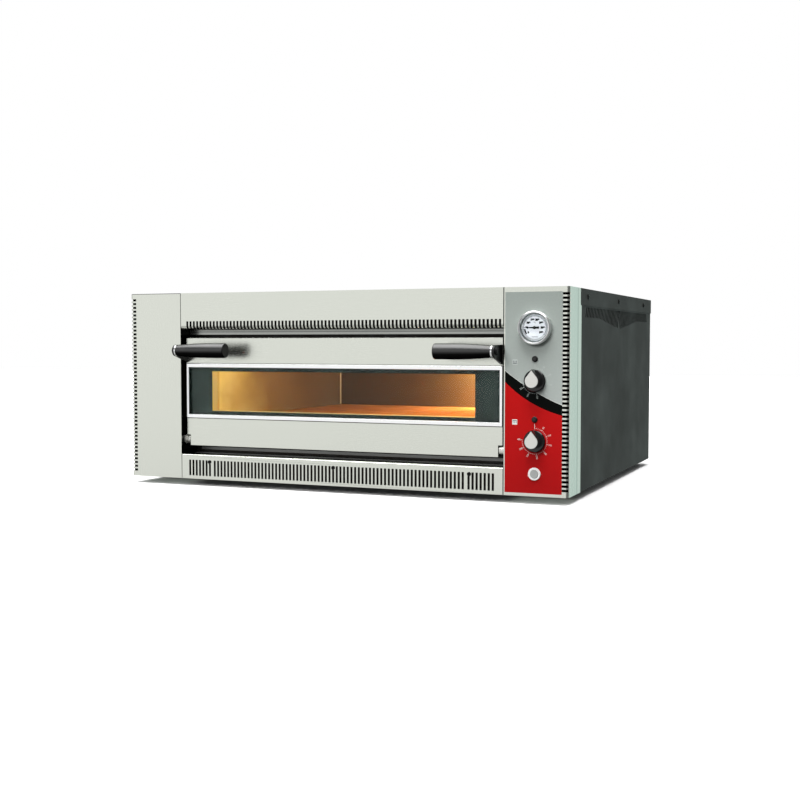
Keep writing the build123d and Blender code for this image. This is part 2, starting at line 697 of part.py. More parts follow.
def window_mask():
    """Dark inner frame: a flat plate with a window, a tunnel round the inner glass and side walls."""
    half = DOOR_HALF - SEAM
    z_range = (TRIM_Z[0], TRIM_Z[1])
    plate = ring_plate(half, z_range, (MASK_FRONT, MASK_FRONT + SHEET), WINDOW_HALF, WINDOW_Z)
    tunnel = ring_plate(
        WINDOW_HALF + SHEET,
        (WINDOW_Z[0] - SHEET, WINDOW_Z[1] + SHEET),
        (MASK_FRONT, DOOR_BACK),
        WINDOW_HALF,
        WINDOW_Z,
    )
    wall = block((half - SHEET, half), (TRIM_BACK, DOOR_BACK), z_range)
    return plate + tunnel + wall + mirrored(wall)


def outer_glass():
    half = DOOR_HALF - SEAM - SHEET - 0.5
    return block((-half, half), (TRIM_BACK, TRIM_BACK + GLASS), (TRIM_Z[0] + 1, TRIM_Z[1] - 1))


def inner_glass():
    """Pane held in the back of the tunnel."""
    half = WINDOW_HALF - GLASS_PLAY
    z_range = (WINDOW_Z[0] + GLASS_PLAY, WINDOW_Z[1] - GLASS_PLAY)
    return block((-half, half), (INNER_GLASS_FRONT, INNER_GLASS_FRONT + GLASS), z_range)


def door_inner_panel():
    """Flat sheet that closes the back of the door."""
    y_range = (DOOR_BACK, DOOR_BACK + SHEET)
    sheet = ring_plate(DOOR_HALF, (DOOR_BOTTOM + 1, DOOR_TOP - 1), y_range, WINDOW_HALF, WINDOW_Z)
    return sheet - notches(NOTCH_X, NOTCH_TOP, (DOOR_BACK - 1, DOOR_BACK + 3))


def door_insulation():
    """Mineral wool in the two trays."""
    y_range = (DOOR_FRONT + SHEET + 1, DOOR_BACK - 1)
    upper = block((-346, 346), y_range, (UPPER_PANEL_BOTTOM + 3, DOOR_TOP - 3))
    lower = block((-326, 326), y_range, (DOOR_BOTTOM + 3, LOWER_PANEL_TOP - 3))
    return group(upper, lower)


def hinge_pins():
    """Pins welded to blocks inside the lower corners of the door."""
    weld_block = block((330, NOTCH_X - SHEET), (HINGE_Y - 6, HINGE_Y + 8), (HINGE_Z - 10, HINGE_Z + 10))
    pin = rod_x((NOTCH_X - SHEET - 1, CRANK_X[0]), HINGE_Y, HINGE_Z, PIN_DIAMETER / 2)
    return both_sides(weld_block + pin)


def hinge_bushings():
    """Bright collars in the door's notches, in which the pins turn."""
    length = (NOTCH_X + 0.8, BRACKET_X[0])
    collar = rod_x(length, HINGE_Y, HINGE_Z, BUSHING_DIAMETER / 2)
    collar = chamfer(collar.edges().group_by(Axis.X)[0], 1)
    bore = rod_x((length[0] - 1, length[1] + 1), HINGE_Y, HINGE_Z, PIN_DIAMETER / 2 + RUNNING_GAP)
    return both_sides(collar - bore)


def hinge_brackets():
    """Plates on the case that carry the bushings."""
    arm = block(BRACKET_X, (HINGE_Y, MOUTH_Y), (HINGE_Z - BRACKET_RADIUS, HINGE_Z + BRACKET_RADIUS))
    plate = arm + rod_x(BRACKET_X, HINGE_Y, HINGE_Z, BRACKET_RADIUS)
    bore = rod_x((BRACKET_X[0] - 1, BRACKET_X[1] + 1), HINGE_Y, HINGE_Z, PIN_DIAMETER / 2 + 0.3)
    return both_sides(plate - bore)


def spring_cranks():
    """Arms on the ends of the pins, each with a roller that pushes the spring when the door opens."""
    tip_y = HINGE_Y + CRANK_REACH
    tip_z = HINGE_Z - CRANK_REACH
    hub = rod_x(CRANK_X, HINGE_Y, HINGE_Z, 10)
    slant = (2 * CRANK_REACH**2) ** 0.5
    arm = Box(CRANK_X[1] - CRANK_X[0], slant, 12)
    middle = ((CRANK_X[0] + CRANK_X[1]) / 2, HINGE_Y + CRANK_REACH / 2, HINGE_Z - CRANK_REACH / 2)
    arm = Pos(*middle) * Rot(-45, 0, 0) * arm
    roller = rod_x((CRANK_X[0], SPRING_X + SPRING_RADIUS), tip_y, tip_z, ROLLER_RADIUS)
    return both_sides(hub + arm + roller)


def door_spring():
    """Right-hand compression spring, drawn as the tube that its coils fill."""
    y = HINGE_Y + CRANK_REACH
    z_range = (HINGE_Z - CRANK_REACH + ROLLER_RADIUS + 0.5, SPRING_TOP)
    tube = rod_z(z_range, SPRING_X, y, SPRING_RADIUS)
    return tube - rod_z((0, SPRING_TOP + 1), SPRING_X, y, SPRING_RADIUS - SPRING_WIRE)


def spring_seats():
    """Angle tabs on the inner returns that the springs push against."""
    y = HINGE_Y + CRANK_REACH
    x_start = OPENING_HALF + SHEET
    y_range = (y - 14, y + 14)
    shelf = block((x_start, x_start + 26), y_range, (SPRING_TOP, SPRING_TOP + 2))
    back = block((x_start, x_start + 2), y_range, (SPRING_TOP, SPRING_TOP + 26))
    return both_sides(shelf + back)


# ---------------------------------------------------------------- handles
def handle_brackets():
    """Flat plates that stand out from the door and end in a round eye."""
    eye = 12.0
    side = Polyline(
        (DOOR_FRONT, UPPER_PANEL_BOTTOM + 1.5),
        (DOOR_FRONT, HANDLE_Z + eye + 1),
        (HANDLE_Y, HANDLE_Z + eye),
        (HANDLE_Y - 5, HANDLE_Z - 10.9),
        close=True,
    )
    outline = make_face(side) + Pos(HANDLE_Y, HANDLE_Z) * Circle(eye)
    plate = extrude(Plane.YZ * outline, amount=HANDLE_PLATE_X[1] - HANDLE_PLATE_X[0])
    plate = Pos(HANDLE_PLATE_X[0], 0, 0) * plate
    hole = rod_x((HANDLE_PLATE_X[0] - 1, HANDLE_PLATE_X[1] + 1), HANDLE_Y, HANDLE_Z, HANDLE_BOLT / 2 + 0.1)
    return both_sides(plate - hole)


def handle_grip():
    """Right-hand grip: a tapered bar with a rounded free end."""
    end_start = (GRIP_INNER, GRIP_END_RADIUS - GRIP_END_ROUND)
    end_finish = (GRIP_INNER + GRIP_END_ROUND, GRIP_END_RADIUS)
    taper_start = (GRIP_INNER + 45, GRIP_END_RADIUS)
    root = (GRIP_OUTER, GRIP_ROOT_RADIUS)
    outline = [
        Line((GRIP_OUTER, 0), (GRIP_INNER, 0)),
        Line((GRIP_INNER, 0), end_start),
        RadiusArc(end_start, end_finish, GRIP_END_ROUND),
        Line(end_finish, taper_start),
        Spline(taper_start, root, tangents=[(1, 0), (1, -0.09)]),
        Line(root, (GRIP_OUTER, 0)),
    ]
    bar = Pos(0, HANDLE_Y, HANDLE_Z) * revolve(make_face(outline), Axis.X)
    return bar - rod_x((GRIP_OUTER - 44, GRIP_OUTER + 1), HANDLE_Y, HANDLE_Z, HANDLE_BOLT / 2 + 0.1)


def handle_bolts():
    """Bolts through the brackets into the grips."""
    shank = rod_x((GRIP_OUTER - 42, HANDLE_PLATE_X[1]), HANDLE_Y, HANDLE_Z, HANDLE_BOLT / 2)
    head = rod_x((HANDLE_PLATE_X[1], HANDLE_PLATE_X[1] + 4.5), HANDLE_Y, HANDLE_Z, 7)
    head = chamfer(head.edges().group_by(Axis.X)[-1], 1.2)
    return both_sides(shank + head)


def handle_collars():
    """Washers between grip and bracket."""
    washer = rod_x((GRIP_OUTER, HANDLE_PLATE_X[0]), HANDLE_Y, HANDLE_Z, GRIP_ROOT_RADIUS + 0.8)
    hole = rod_x((GRIP_OUTER - 1, HANDLE_PLATE_X[0] + 1), HANDLE_Y, HANDLE_Z, HANDLE_BOLT / 2 + 0.1)
    return both_sides(washer - hole)


# ---------------------------------------------------------------- controls
def gauge_case():
    """Thermometer body behind the panel with its bezel in front."""
    outline = [
        (GAUGE_RADIUS, -OVERLAY),
        (GAUGE_RADIUS, -GAUGE_PROUD + 3),
        (GAUGE_RADIUS - 1, -GAUGE_PROUD + 1),
        (GAUGE_RADIUS - 2.5, -GAUGE_PROUD),
        (GAUGE_RADIUS - 4, -GAUGE_PROUD + 0.6),
        (GAUGE_RADIUS - 4.6, -GAUGE_PROUD + 2),
        (GAUGE_RADIUS - 4.6, -2.2),
        (24, -2.2),
        (24, 30),
        (0, 30),
        (0, 32),
        (26, 32),
        (26, -OVERLAY),
    ]
    return turned_y(outline, CONTROL_X, GAUGE_Z)


def gauge_dial():
    """White disc with a hole for the needle's arbor."""
    disc = rod_y((-3.2, -2.2), CONTROL_X, GAUGE_Z, GAUGE_RADIUS - 4.8)
    return disc - rod_y((-4, -1), CONTROL_X, GAUGE_Z, 1 + RUNNING_GAP)


def gauge_lens():
    return rod_y((-GAUGE_PROUD + 2.2, -GAUGE_PROUD + 3.7), CONTROL_X, GAUGE_Z, GAUGE_RADIUS - 4.6)


def gauge_needle():
    """Pointer on its arbor; at rest it points to the left, at the low end of the scale."""
    blade = Polyline((9, -2.2), (9, 2.2), (-21, 0.35), (-21, -0.35), close=True)
    face = Plane.XZ * make_face(blade)
    pointer = Pos(CONTROL_X, -4.6, GAUGE_Z) * extrude(face, amount=0.8)
    hub = rod_y((-6.4, -4.6), CONTROL_X, GAUGE_Z, 3)
    arbor = rod_y((-5, 12), CONTROL_X, GAUGE_Z, 1)
    return pointer + hub + arbor


def teardrop(radius, tip):
    """Outline of a knob's grip: a circle drawn out to a point at the top."""
    side_x = radius * 0.72
    side_z = radius * 0.69
    point = make_face(Polyline((-side_x, side_z), (0, tip), (side_x, side_z), (0, -1), close=True))
    return Circle(radius) + point


def extruded_forward(sketch, z, y_back, y_front):
    """A sketch in the XZ plane at a control, extruded between two depths."""
    solid = extrude(Plane.XZ * sketch, amount=y_back - y_front)
    return Pos(CONTROL_X, y_back, z) * solid


def knob(z):
    """Skirt, teardrop grip with a pocket for the insert, and the stem."""
    skirt_back = -OVERLAY - 0.5
    skirt = rod_y((-5.5, skirt_back), CONTROL_X, z, KNOB_SKIRT_RADIUS)
    skirt = chamfer(skirt.edges().group_by(Axis.Y)[0], 1.5)
    grip = extruded_forward(teardrop(KNOB_GRIP_RADIUS, KNOB_TIP), z, -5, -KNOB_PROUD)
    recess = teardrop(KNOB_GRIP_RADIUS - KNOB_RIM, KNOB_TIP - KNOB_RIM)
    pocket = extruded_forward(recess, z, -KNOB_PROUD + POCKET_DEPTH, -KNOB_PROUD - 1)
    stem = rod_y((-3, 14), CONTROL_X, z, STEM_DIAMETER / 2)
    return skirt + grip + stem - pocket


def knob_insert(z):
    """Silver plate in the front of a knob."""
    rim = KNOB_RIM + 0.2
    sketch = teardrop(KNOB_GRIP_RADIUS - rim, KNOB_TIP - rim)
    return extruded_forward(sketch, z, -KNOB_PROUD + POCKET_DEPTH, -KNOB_PROUD - 0.2)


def thermostats():
    """Two rotary thermostats behind the panel, each with a bush for its knob's stem."""
    bodies = []
    for z in KNOB_Z.values():
        body = block((CONTROL_X - 18, CONTROL_X + 18), (9, 48), (z - 20, z + 20))
        bush = rod_y((SHEET, 10), CONTROL_X, z, 8)
        bore = rod_y((0, 15), CONTROL_X, z, STEM_DIAMETER / 2 + RUNNING_GAP)
        bodies.append(body + bush - bore)
    return group(*bodies)


def pilot_lamps():
    """Two small round signal lamps."""
    outline = [
        (0, -4.2),
        (2.4, -4.0),
        (4.4, -3.2),
        (PILOT_RADIUS, -2),
        (PILOT_RADIUS, -OVERLAY),
        (4.5, -OVERLAY),
        (4.5, 22),
        (0, 22),
    ]
    return group(*[turned_y(outline, CONTROL_X, z) for z in PILOT_Z])


def light_button_ring():
    """Round switch body with a raised ring."""
    ring = rod_y((-2.6, -OVERLAY), CONTROL_X, BUTTON_Z, BUTTON_RING_RADIUS)
    ring = chamfer(ring.edges().group_by(Axis.Y)[0], 0.8)
    barrel = rod_y((-1, 20), CONTROL_X, BUTTON_Z, 10)
    bore = rod_y((-4, 17), CONTROL_X, BUTTON_Z, BUTTON_RADIUS + 0.35)
    return ring + barrel - bore


def light_button():
    button = rod_y((-3.6, 11), CONTROL_X, BUTTON_Z, BUTTON_RADIUS)
    return fillet(button.edges().group_by(Axis.Y)[0], 1)


def terminal_block():
    """Supply terminals on the floor of the service space."""
    base = block((GLAND_X - 32, GLAND_X + 32), (700, 740), (2 * SHEET, 30))
    wells = [rod_z((18, 31), GLAND_X + x, 720, 5) for x in row(4, 14)]
    return base - wells


# ---------------------------------------------------------------- the whole part
def sub_parts():
    """Every node by name."""
    spring = door_spring()
    grip = handle_grip()
    return {
        "base_pan": base_pan(),
        "feet": feet(),
        "left_front_panel": mirrored(front_corner_panel()),
        "control_panel": control_panel(),
        "control_overlay": control_overlay(),
        "top_fascia": top_fascia(),
        "lower_grille": lower_grille(),
        "case_screws": case_screws(),
        "left_side_panel": mirrored(right_side_panel()),
        "right_side_panel": right_side_panel(),
        "roof_cover": roof_cover(),
        "rear_panel": rear_panel(),
        "cable_gland": cable_gland(),
        "mouth_frame": mouth_frame(),
        "door_seal": door_seal(),
        "chamber_shell": chamber_shell(),
        "hearth_stones": hearth_stones(),
        "stone_rails": stone_rails(),
        "upper_heaters": heaters(UPPER_HEATER_Z),
        "lower_heaters": heaters(LOWER_HEATER_Z),
        "heater_terminals": heater_terminals(),
        "insulation_top": insulation_top(),
        "insulation_bottom": insulation_bottom(),
        "insulation_walls": group(insulation_side(False), insulation_side(True), insulation_rear()),
        "service_partition": service_partition(),
        "lamp_housing": lamp_housing(),
        "lamp_bulb": lamp_bulb(),
        "lamp_lens": lamp_lens(),
        "sensor_probes": sensor_probes(),
        "hinge_bushings": hinge_bushings(),
        "hinge_brackets": hinge_brackets(),
        "spring_seats": spring_seats(),
        "door_springs": group(spring, mirrored(spring)),
        "gauge_case": gauge_case(),
        "gauge_dial": gauge_dial(),
        "gauge_lens": gauge_lens(),
        "thermostats": thermostats(),
        "pilot_lamps": pilot_lamps(),
        "light_button_ring": light_button_ring(),
        "terminal_block": terminal_block(),
        "door_upper_panel": door_upper_panel(),
        "door_lower_panel": door_lower_panel(),
        "window_trim": window_trim(),
        "window_mask": window_mask(),
        "outer_glass": outer_glass(),
        "inner_glass": inner_glass(),
        "door_inner_panel": door_inner_panel(),
        "door_insulation": door_insulation(),
        "handle_brackets": handle_brackets(),
        "handle_grips": group(grip, mirrored(grip)),
        "handle_bolts": handle_bolts(),
        "handle_collars": handle_collars(),
        "hinge_pins": hinge_pins(),
        "spring_cranks": spring_cranks(),
        "gauge_needle": gauge_needle(),
        "knob_upper": knob(KNOB_Z["upper"]),
        "knob_lower": knob(KNOB_Z["lower"]),
        "knob_upper_insert": knob_insert(KNOB_Z["upper"]),
        "knob_lower_insert": knob_insert(KNOB_Z["lower"]),
        "light_button": light_button(),
    }


os.makedirs("parts", exist_ok=True)
for name, shape in sub_parts().items():
    export_step(TO_PART_FRAME * shape, f"parts/{name}.step")
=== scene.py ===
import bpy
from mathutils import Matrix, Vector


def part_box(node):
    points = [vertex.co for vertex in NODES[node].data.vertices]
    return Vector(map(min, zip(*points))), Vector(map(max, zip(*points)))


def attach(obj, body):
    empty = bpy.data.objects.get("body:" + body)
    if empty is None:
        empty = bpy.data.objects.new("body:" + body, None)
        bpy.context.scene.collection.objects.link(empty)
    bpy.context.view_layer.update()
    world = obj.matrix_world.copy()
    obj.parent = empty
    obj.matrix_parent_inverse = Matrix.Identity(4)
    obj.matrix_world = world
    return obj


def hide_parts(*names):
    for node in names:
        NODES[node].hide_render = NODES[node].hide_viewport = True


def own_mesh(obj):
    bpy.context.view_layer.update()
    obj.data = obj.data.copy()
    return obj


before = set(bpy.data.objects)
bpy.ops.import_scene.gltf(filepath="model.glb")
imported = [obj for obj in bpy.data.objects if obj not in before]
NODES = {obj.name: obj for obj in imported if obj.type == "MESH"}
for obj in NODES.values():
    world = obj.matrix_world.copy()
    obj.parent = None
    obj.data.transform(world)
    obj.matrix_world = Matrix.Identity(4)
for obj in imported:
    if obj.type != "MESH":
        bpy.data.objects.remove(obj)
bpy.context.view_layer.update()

import math

import bmesh
import bpy
from mathutils import Matrix, Vector

MM = 0.001

# The case's own origin: middle of the width, front sheet, underside of the case.
CASE = Vector((0.0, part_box("top_fascia")[0].y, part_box("lower_grille")[0].z))
OVERLAY_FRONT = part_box("control_overlay")[0].y


def case_point(x, y, z):
    """A point given in millimetres from the case's own origin."""
    return CASE + Vector((x, y, z)) * MM


def middle(node):
    """Centre of a CAD node's box."""
    low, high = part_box(node)
    return (low + high) / 2


CONTROL_X = middle("gauge_dial").x


# ---------------------------------------------------------------- colours and shader nodes
def srgb(red, green, blue):
    """Screen colour, 0 to 255, as linear RGBA."""
    linear = [((c / 255 + 0.055) / 1.055) ** 2.4 if c > 10 else c / 255 / 12.92 for c in (red, green, blue)]
    return (*linear, 1.0)


def grey(level):
    """Neutral linear colour."""
    return (level, level, level, 1.0)


class Nodes:
    """Shader nodes put together in one tree; sources are sockets."""

    def __init__(self, tree):
        self.tree = tree

    def add(self, kind, **inputs):
        """A node with fixed inputs; an underscore in a name stands for a space."""
        node = self.tree.nodes.new(kind)
        for socket, value in inputs.items():
            node.inputs[socket.replace("_", " ")].default_value = value
        return node

    def link(self, source, target):
        self.tree.links.new(source, target)

    def ramp(self, source, *stops):
        """Colour ramp from (position, colour) stops."""
        node = self.add("ShaderNodeValToRGB")
        elements = node.color_ramp.elements
        while len(elements) < len(stops):
            elements.new(0.5)
        for element, (position, color) in zip(elements, stops):
            element.position = position
            element.color = color
        self.link(source, node.inputs[0])
        return node.outputs[0]

    def span(self, source, low, high, to_low=0.0, to_high=1.0):
        """Number from one range into another."""
        node = self.add("ShaderNodeMapRange", From_Min=low, From_Max=high, To_Min=to_low, To_Max=to_high)
        self.link(source, node.inputs["Value"])
        return node.outputs[0]

    def math(self, operation, first, second):
        node = self.add("ShaderNodeMath")
        node.operation = operation
        for index, value in enumerate((first, second)):
            if isinstance(value, (int, float)):
                node.inputs[index].default_value = value
            else:
                self.link(value, node.inputs[index])
        return node.outputs[0]

    def blend(self, share, first, second, mode="MIX"):
        """Mix two colours; share, first and second are sockets or fixed values."""
        node = self.add("ShaderNodeMix")
        node.data_type = "RGBA"
        node.blend_type = mode
        for socket, value in ((node.inputs[0], share), (node.inputs[6], first), (node.inputs[7], second)):
            if hasattr(value, "is_output"):
                self.link(value, socket)
            else:
                socket.default_value = value
        return node.outputs[2]

    def background(self, color, strength):
        """Light of a world, coloured by a socket."""
        node = self.add("ShaderNodeBackground", Strength=strength)
        self.link(color, node.inputs["Color"])
        return node.outputs[0]

    def choose(self, share, first, second):
        """First shader where share is 0, second where it is 1."""
        node = self.add("ShaderNodeMixShader")
        for target, source in zip(node.inputs, (share, first, second)):
            self.link(source, target)
        return node.outputs[0]


class Finish(Nodes):
    """A node material being put together."""

    def __init__(self, name, roughness=0.5, metallic=0.0, specular=0.5, **sockets):
        self.material = bpy.data.materials.new(name)
        self.material.use_nodes = True
        super().__init__(self.material.node_tree)
        self.shader = self.tree.nodes["Principled BSDF"]
        self.shader.inputs["Roughness"].default_value = roughness
        self.shader.inputs["Metallic"].default_value = metallic
        self.shader.inputs["Specular IOR Level"].default_value = specular
        for socket, value in sockets.items():
            self.shader.inputs[socket.replace("_", " ")].default_value = value
        self.place = self.add("ShaderNodeTexCoord").outputs["Object"]

    def set(self, socket, source):
        self.link(source, self.shader.inputs[socket])

    def noise(self, scale, stretch=(1, 1, 1), detail=3.0, rough=0.55):
        """Noise in the piece's own space; stretch multiplies the scale along each axis."""
        mapping = self.add("ShaderNodeMapping", Scale=stretch)
        texture = self.add("ShaderNodeTexNoise", Scale=scale, Detail=detail, Roughness=rough)
        self.link(self.place, mapping.inputs["Vector"])
        self.link(mapping.outputs[0], texture.inputs["Vector"])
        return texture.outputs["Fac"]

    def cells(self, scale):
        texture = self.add("ShaderNodeTexVoronoi", Scale=scale)
        self.link(self.place, texture.inputs["Vector"])
        return texture.outputs["Distance"]

    def along(self, axis, start, end):
        """0 to 1 between two places on an axis of the frame."""
        split = self.add("ShaderNodeSeparateXYZ")
        self.link(self.place, split.inputs[0])
        return self.span(split.outputs[axis], start, end)

    def bump(self, height, strength=0.2, distance=0.0003):
        node = self.add("ShaderNodeBump", Strength=strength, Distance=distance)
        self.link(height, node.inputs["Height"])
        self.set("Normal", node.outputs[0])


# ---------------------------------------------------------------- camera, light and stage
CAMERA_PLACE = case_point(1037.3, -2134.1, 295.3)
CAMERA_TURN = (math.radians(87.133), 0.0, math.radians(22.609))
CAMERA_LENS = 52.2
LAMP_COLOR = (1.0, 0.84, 0.45)
LAMP_RADIUS = 0.02
LAMP_STANDOFF = Vector((0.045, 0, 0))
FLOOR_SIZE = 16.0

# Strength of the reflected walls, the overhead box and the soft light from above.
REFLECTED = 1.06
SOFTBOX = 4.8
SKY = 0.55

# The room that is reflected. Round the oven, 0 is behind it, then come its left, its front at 0.5,
# its right, and 1 is behind it again. By height, 0 is straight down, 0.5 level and 1 straight up.
BACK_WALL = (0.58, 0.70, 0.67, 1)
FRONT_WALL = grey(1)
WALLS_AROUND = (
    (0.0, BACK_WALL),
    (0.20, grey(0.10)),
    (0.33, FRONT_WALL),
    (0.52, FRONT_WALL),
    (0.56, grey(0.20)),
    (0.84, (0.16, 0.17, 0.17, 1)),
    (0.90, (0.68, 0.82, 0.78, 1)),
    (1.0, BACK_WALL),
)
WALLS_BY_HEIGHT = (
    (0.30, (0.62, 0.62, 0.61, 1)),
    (0.36, grey(0.30)),
    (0.43, grey(1)),
    (0.62, grey(1)),
    (0.70, grey(0.25)),
)
CEILING_BY_HEIGHT = ((0.84, grey(0)), (0.89, grey(1)), (0.98, grey(1)), (1.0, grey(0.6)))
SKY_BY_HEIGHT = ((0.5, grey(0.05)), (0.62, grey(0.35)), (0.85, grey(1)))


def make_camera():
    camera = bpy.data.objects.new("camera", bpy.data.cameras.new("camera"))
    bpy.context.scene.collection.objects.link(camera)
    camera.data.lens = CAMERA_LENS
    camera.data.sensor_width = 36.0
    camera.data.clip_start = 0.01
    camera.location = CAMERA_PLACE
    camera.rotation_euler = CAMERA_TURN
    bpy.context.scene.camera = camera


def make_sun(name, elevation, azimuth, strength, width):
    """A distant lamp. Azimuth 0 shines from the front, positive from the right; width in degrees."""
    lamp = bpy.data.lights.new(name, "SUN")
    lamp.energy = strength
    lamp.angle = math.radians(width)
    sun = bpy.data.objects.new(name, lamp)
    sun.rotation_euler = (math.radians(90 - elevation), 0.0, math.radians(azimuth))
    sun.visible_glossy = False
    bpy.context.scene.collection.objects.link(sun)


def make_glow(name, place, energy):
    """Warm lamp inside the chamber; its own disc shows neither in the steel nor through the glass."""
    lamp = bpy.data.lights.new(name, "POINT")
    lamp.energy = energy
    lamp.color = LAMP_COLOR
    lamp.shadow_soft_size = LAMP_RADIUS
    glow = bpy.data.objects.new(name, lamp)
    glow.location = place
    glow.visible_glossy = False
    glow.visible_transmission = False
    bpy.context.scene.collection.objects.link(glow)


def room_mirror(room, direction, height):
    """What shiny surfaces see: walls shaded round the oven and by height, and a box of light overhead."""
    compass = room.math("ARCTAN2", direction["X"], room.math("MULTIPLY", direction["Y"], -1.0))
    around = room.ramp(room.span(compass, -math.pi, math.pi), *WALLS_AROUND)
    level = room.ramp(height, *WALLS_BY_HEIGHT)
    walls = room.background(room.blend(1.0, around, level, "MULTIPLY"), REFLECTED)
    softbox = room.background(room.ramp(height, *CEILING_BY_HEIGHT), SOFTBOX)
    both = room.add("ShaderNodeAddShader")
    room.link(walls, both.inputs[0])
    room.link(softbox, both.inputs[1])
    return both.outputs[0]


def make_world():
    """White for the camera; the room for reflections; soft overhead light for the rest."""
    world = bpy.data.worlds.new("studio")
    bpy.context.scene.world = world
    world.use_nodes = True
    world.node_tree.nodes.clear()
    room = Nodes(world.node_tree)
    split = room.add("ShaderNodeSeparateXYZ")
    room.link(room.add("ShaderNodeTexCoord").outputs["Generated"], split.inputs[0])
    height = room.span(split.outputs["Z"], -1.0, 1.0)
    mirror = room_mirror(room, split.outputs, height)
    sky = room.background(room.ramp(height, *SKY_BY_HEIGHT), SKY)
    seen = room.add("ShaderNodeBackground", Color=grey(1)).outputs[0]
    path = room.add("ShaderNodeLightPath").outputs
    lit = room.choose(path["Is Diffuse Ray"], mirror, sky)
    shown = room.choose(path["Is Camera Ray"], lit, seen)
    room.link(shown, room.add("ShaderNodeOutputWorld").inputs[0])


def make_floor():
    """Plain matt floor that the oven stands on."""
    bpy.ops.mesh.primitive_plane_add(size=FLOOR_SIZE, location=(0, 0, 0))
    floor = bpy.context.object
    floor.name = "floor"
    material = bpy.data.materials.new("floor")
    material.use_nodes = True
    shader = material.node_tree.nodes["Principled BSDF"]
    shader.inputs["Base Color"].default_value = grey(0.93)
    shader.inputs["Roughness"].default_value = 0.9
    shader.inputs["Specular IOR Level"].default_value = 0.0
    floor.data.materials.append(material)
    floor.visible_glossy = False
    floor.visible_diffuse = False


# ---------------------------------------------------------------- materials
STEEL = srgb(217, 220, 211)
SHADOW = (0.02, 0.021, 0.02, 1)
GRAIN_ACROSS = (0.25, 6, 14)
GRAIN_UP = (14, 6, 0.25)

# Where shading starts on the sheets, as frame X.
SEAM_RIGHT, SEAM_LEFT, SEAM_FADE = 0.3628, -0.3634, 0.0004
OPENING_HALF = 0.3695


def brushed_base(name, color, stretch, roughness=0.24, grain=0.04, metallic=1.0):
    """Fine streaks along one axis and faint clouding; gives the finish and its colour."""
    finish = Finish(name, metallic=metallic)
    streaks = finish.noise(160, stretch, detail=5, rough=0.7)
    clouds = finish.noise(5, detail=2)
    dark = tuple(c * (1 - grain) for c in color[:3]) + (1,)
    light = tuple(min(1, c * (1 + grain)) for c in color[:3]) + (1,)
    base = finish.ramp(streaks, (0.3, dark), (0.7, light))
    soft = finish.ramp(clouds, (0.3, grey(0.965)), (0.7, grey(1)))
    fine = finish.span(streaks, 0.3, 0.7, roughness - 0.04, roughness + 0.04)
    finish.set("Roughness", finish.math("ADD", fine, finish.span(clouds, 0.3, 0.7, -0.02, 0.03)))
    finish.bump(streaks, 0.04, 0.0001)
    return finish, finish.blend(1.0, base, soft, "MULTIPLY")


def with_seams(finish, sheet):
    """Darken the two ends of a sheet that meets the corner panels: painted shade of the seam gap."""
    right = finish.along("X", SEAM_RIGHT, SEAM_RIGHT + SEAM_FADE)
    left = finish.along("X", SEAM_LEFT, SEAM_LEFT - SEAM_FADE)
    return finish.blend(finish.math("MAXIMUM", right, left), sheet, (0.03, 0.031, 0.03, 1))


def grille_steel():
    """Brushed slotted cover, with painted shade on everything behind its face."""
    finish, sheet = brushed_base("steel_grille", STEEL, GRAIN_ACROSS)
    # Painted shade: behind the face the sheet turns to the shadow colour.
    behind = finish.along("Y", CASE.y + 0.003, CASE.y + 0.004)
    sheet = finish.blend(behind, sheet, SHADOW)
    finish.set("Base Color", with_seams(finish, sheet))
    return finish.material


def brushed(name, color, stretch, roughness=0.24, grain=0.04, metallic=1.0):
    """Plain brushed sheet."""
    finish, sheet = brushed_base(name, color, stretch, roughness, grain, metallic)
    finish.set("Base Color", sheet)
    return finish.material


def fascia_steel():
    """Brushed sheet above the door; its slotted bend turns in to an underside and a drip lip with painted
    shade: the underside near black, the lip darker, with painted shade lines at its fold and under the
    fascia.
    """
    finish, sheet = brushed_base("steel_fascia", STEEL, GRAIN_ACROSS)
    # Painted shade under the fascia and on its lip.
    under = finish.along("Y", CASE.y + 0.0055, CASE.y + 0.008)
    below = finish.along("Z", CASE.z + 0.340, CASE.z + 0.336)
    shade = finish.math("MULTIPLY", under, below)
    lip = finish.along("Y", CASE.y + 0.035, CASE.y + 0.036)
    lower_lip_shade = (0.34, 0.35, 0.33, 1)
    upper_lip_shade = (0.30, 0.31, 0.29, 1)
    fold = finish.ramp(
        finish.along("Z", CASE.z + 0.311, CASE.z + 0.322),
        (0.0, lower_lip_shade),
        (0.40, lower_lip_shade),
        (0.52, (0.10, 0.105, 0.10, 1)),
        (0.64, upper_lip_shade),
        (0.86, upper_lip_shade),
        (1.0, grey(0.02)),
    )
    underside_shade = finish.blend(lip, (0.012, 0.012, 0.011, 1), fold)
    finish.set("Base Color", with_seams(finish, finish.blend(shade, sheet, underside_shade)))
    return finish.material


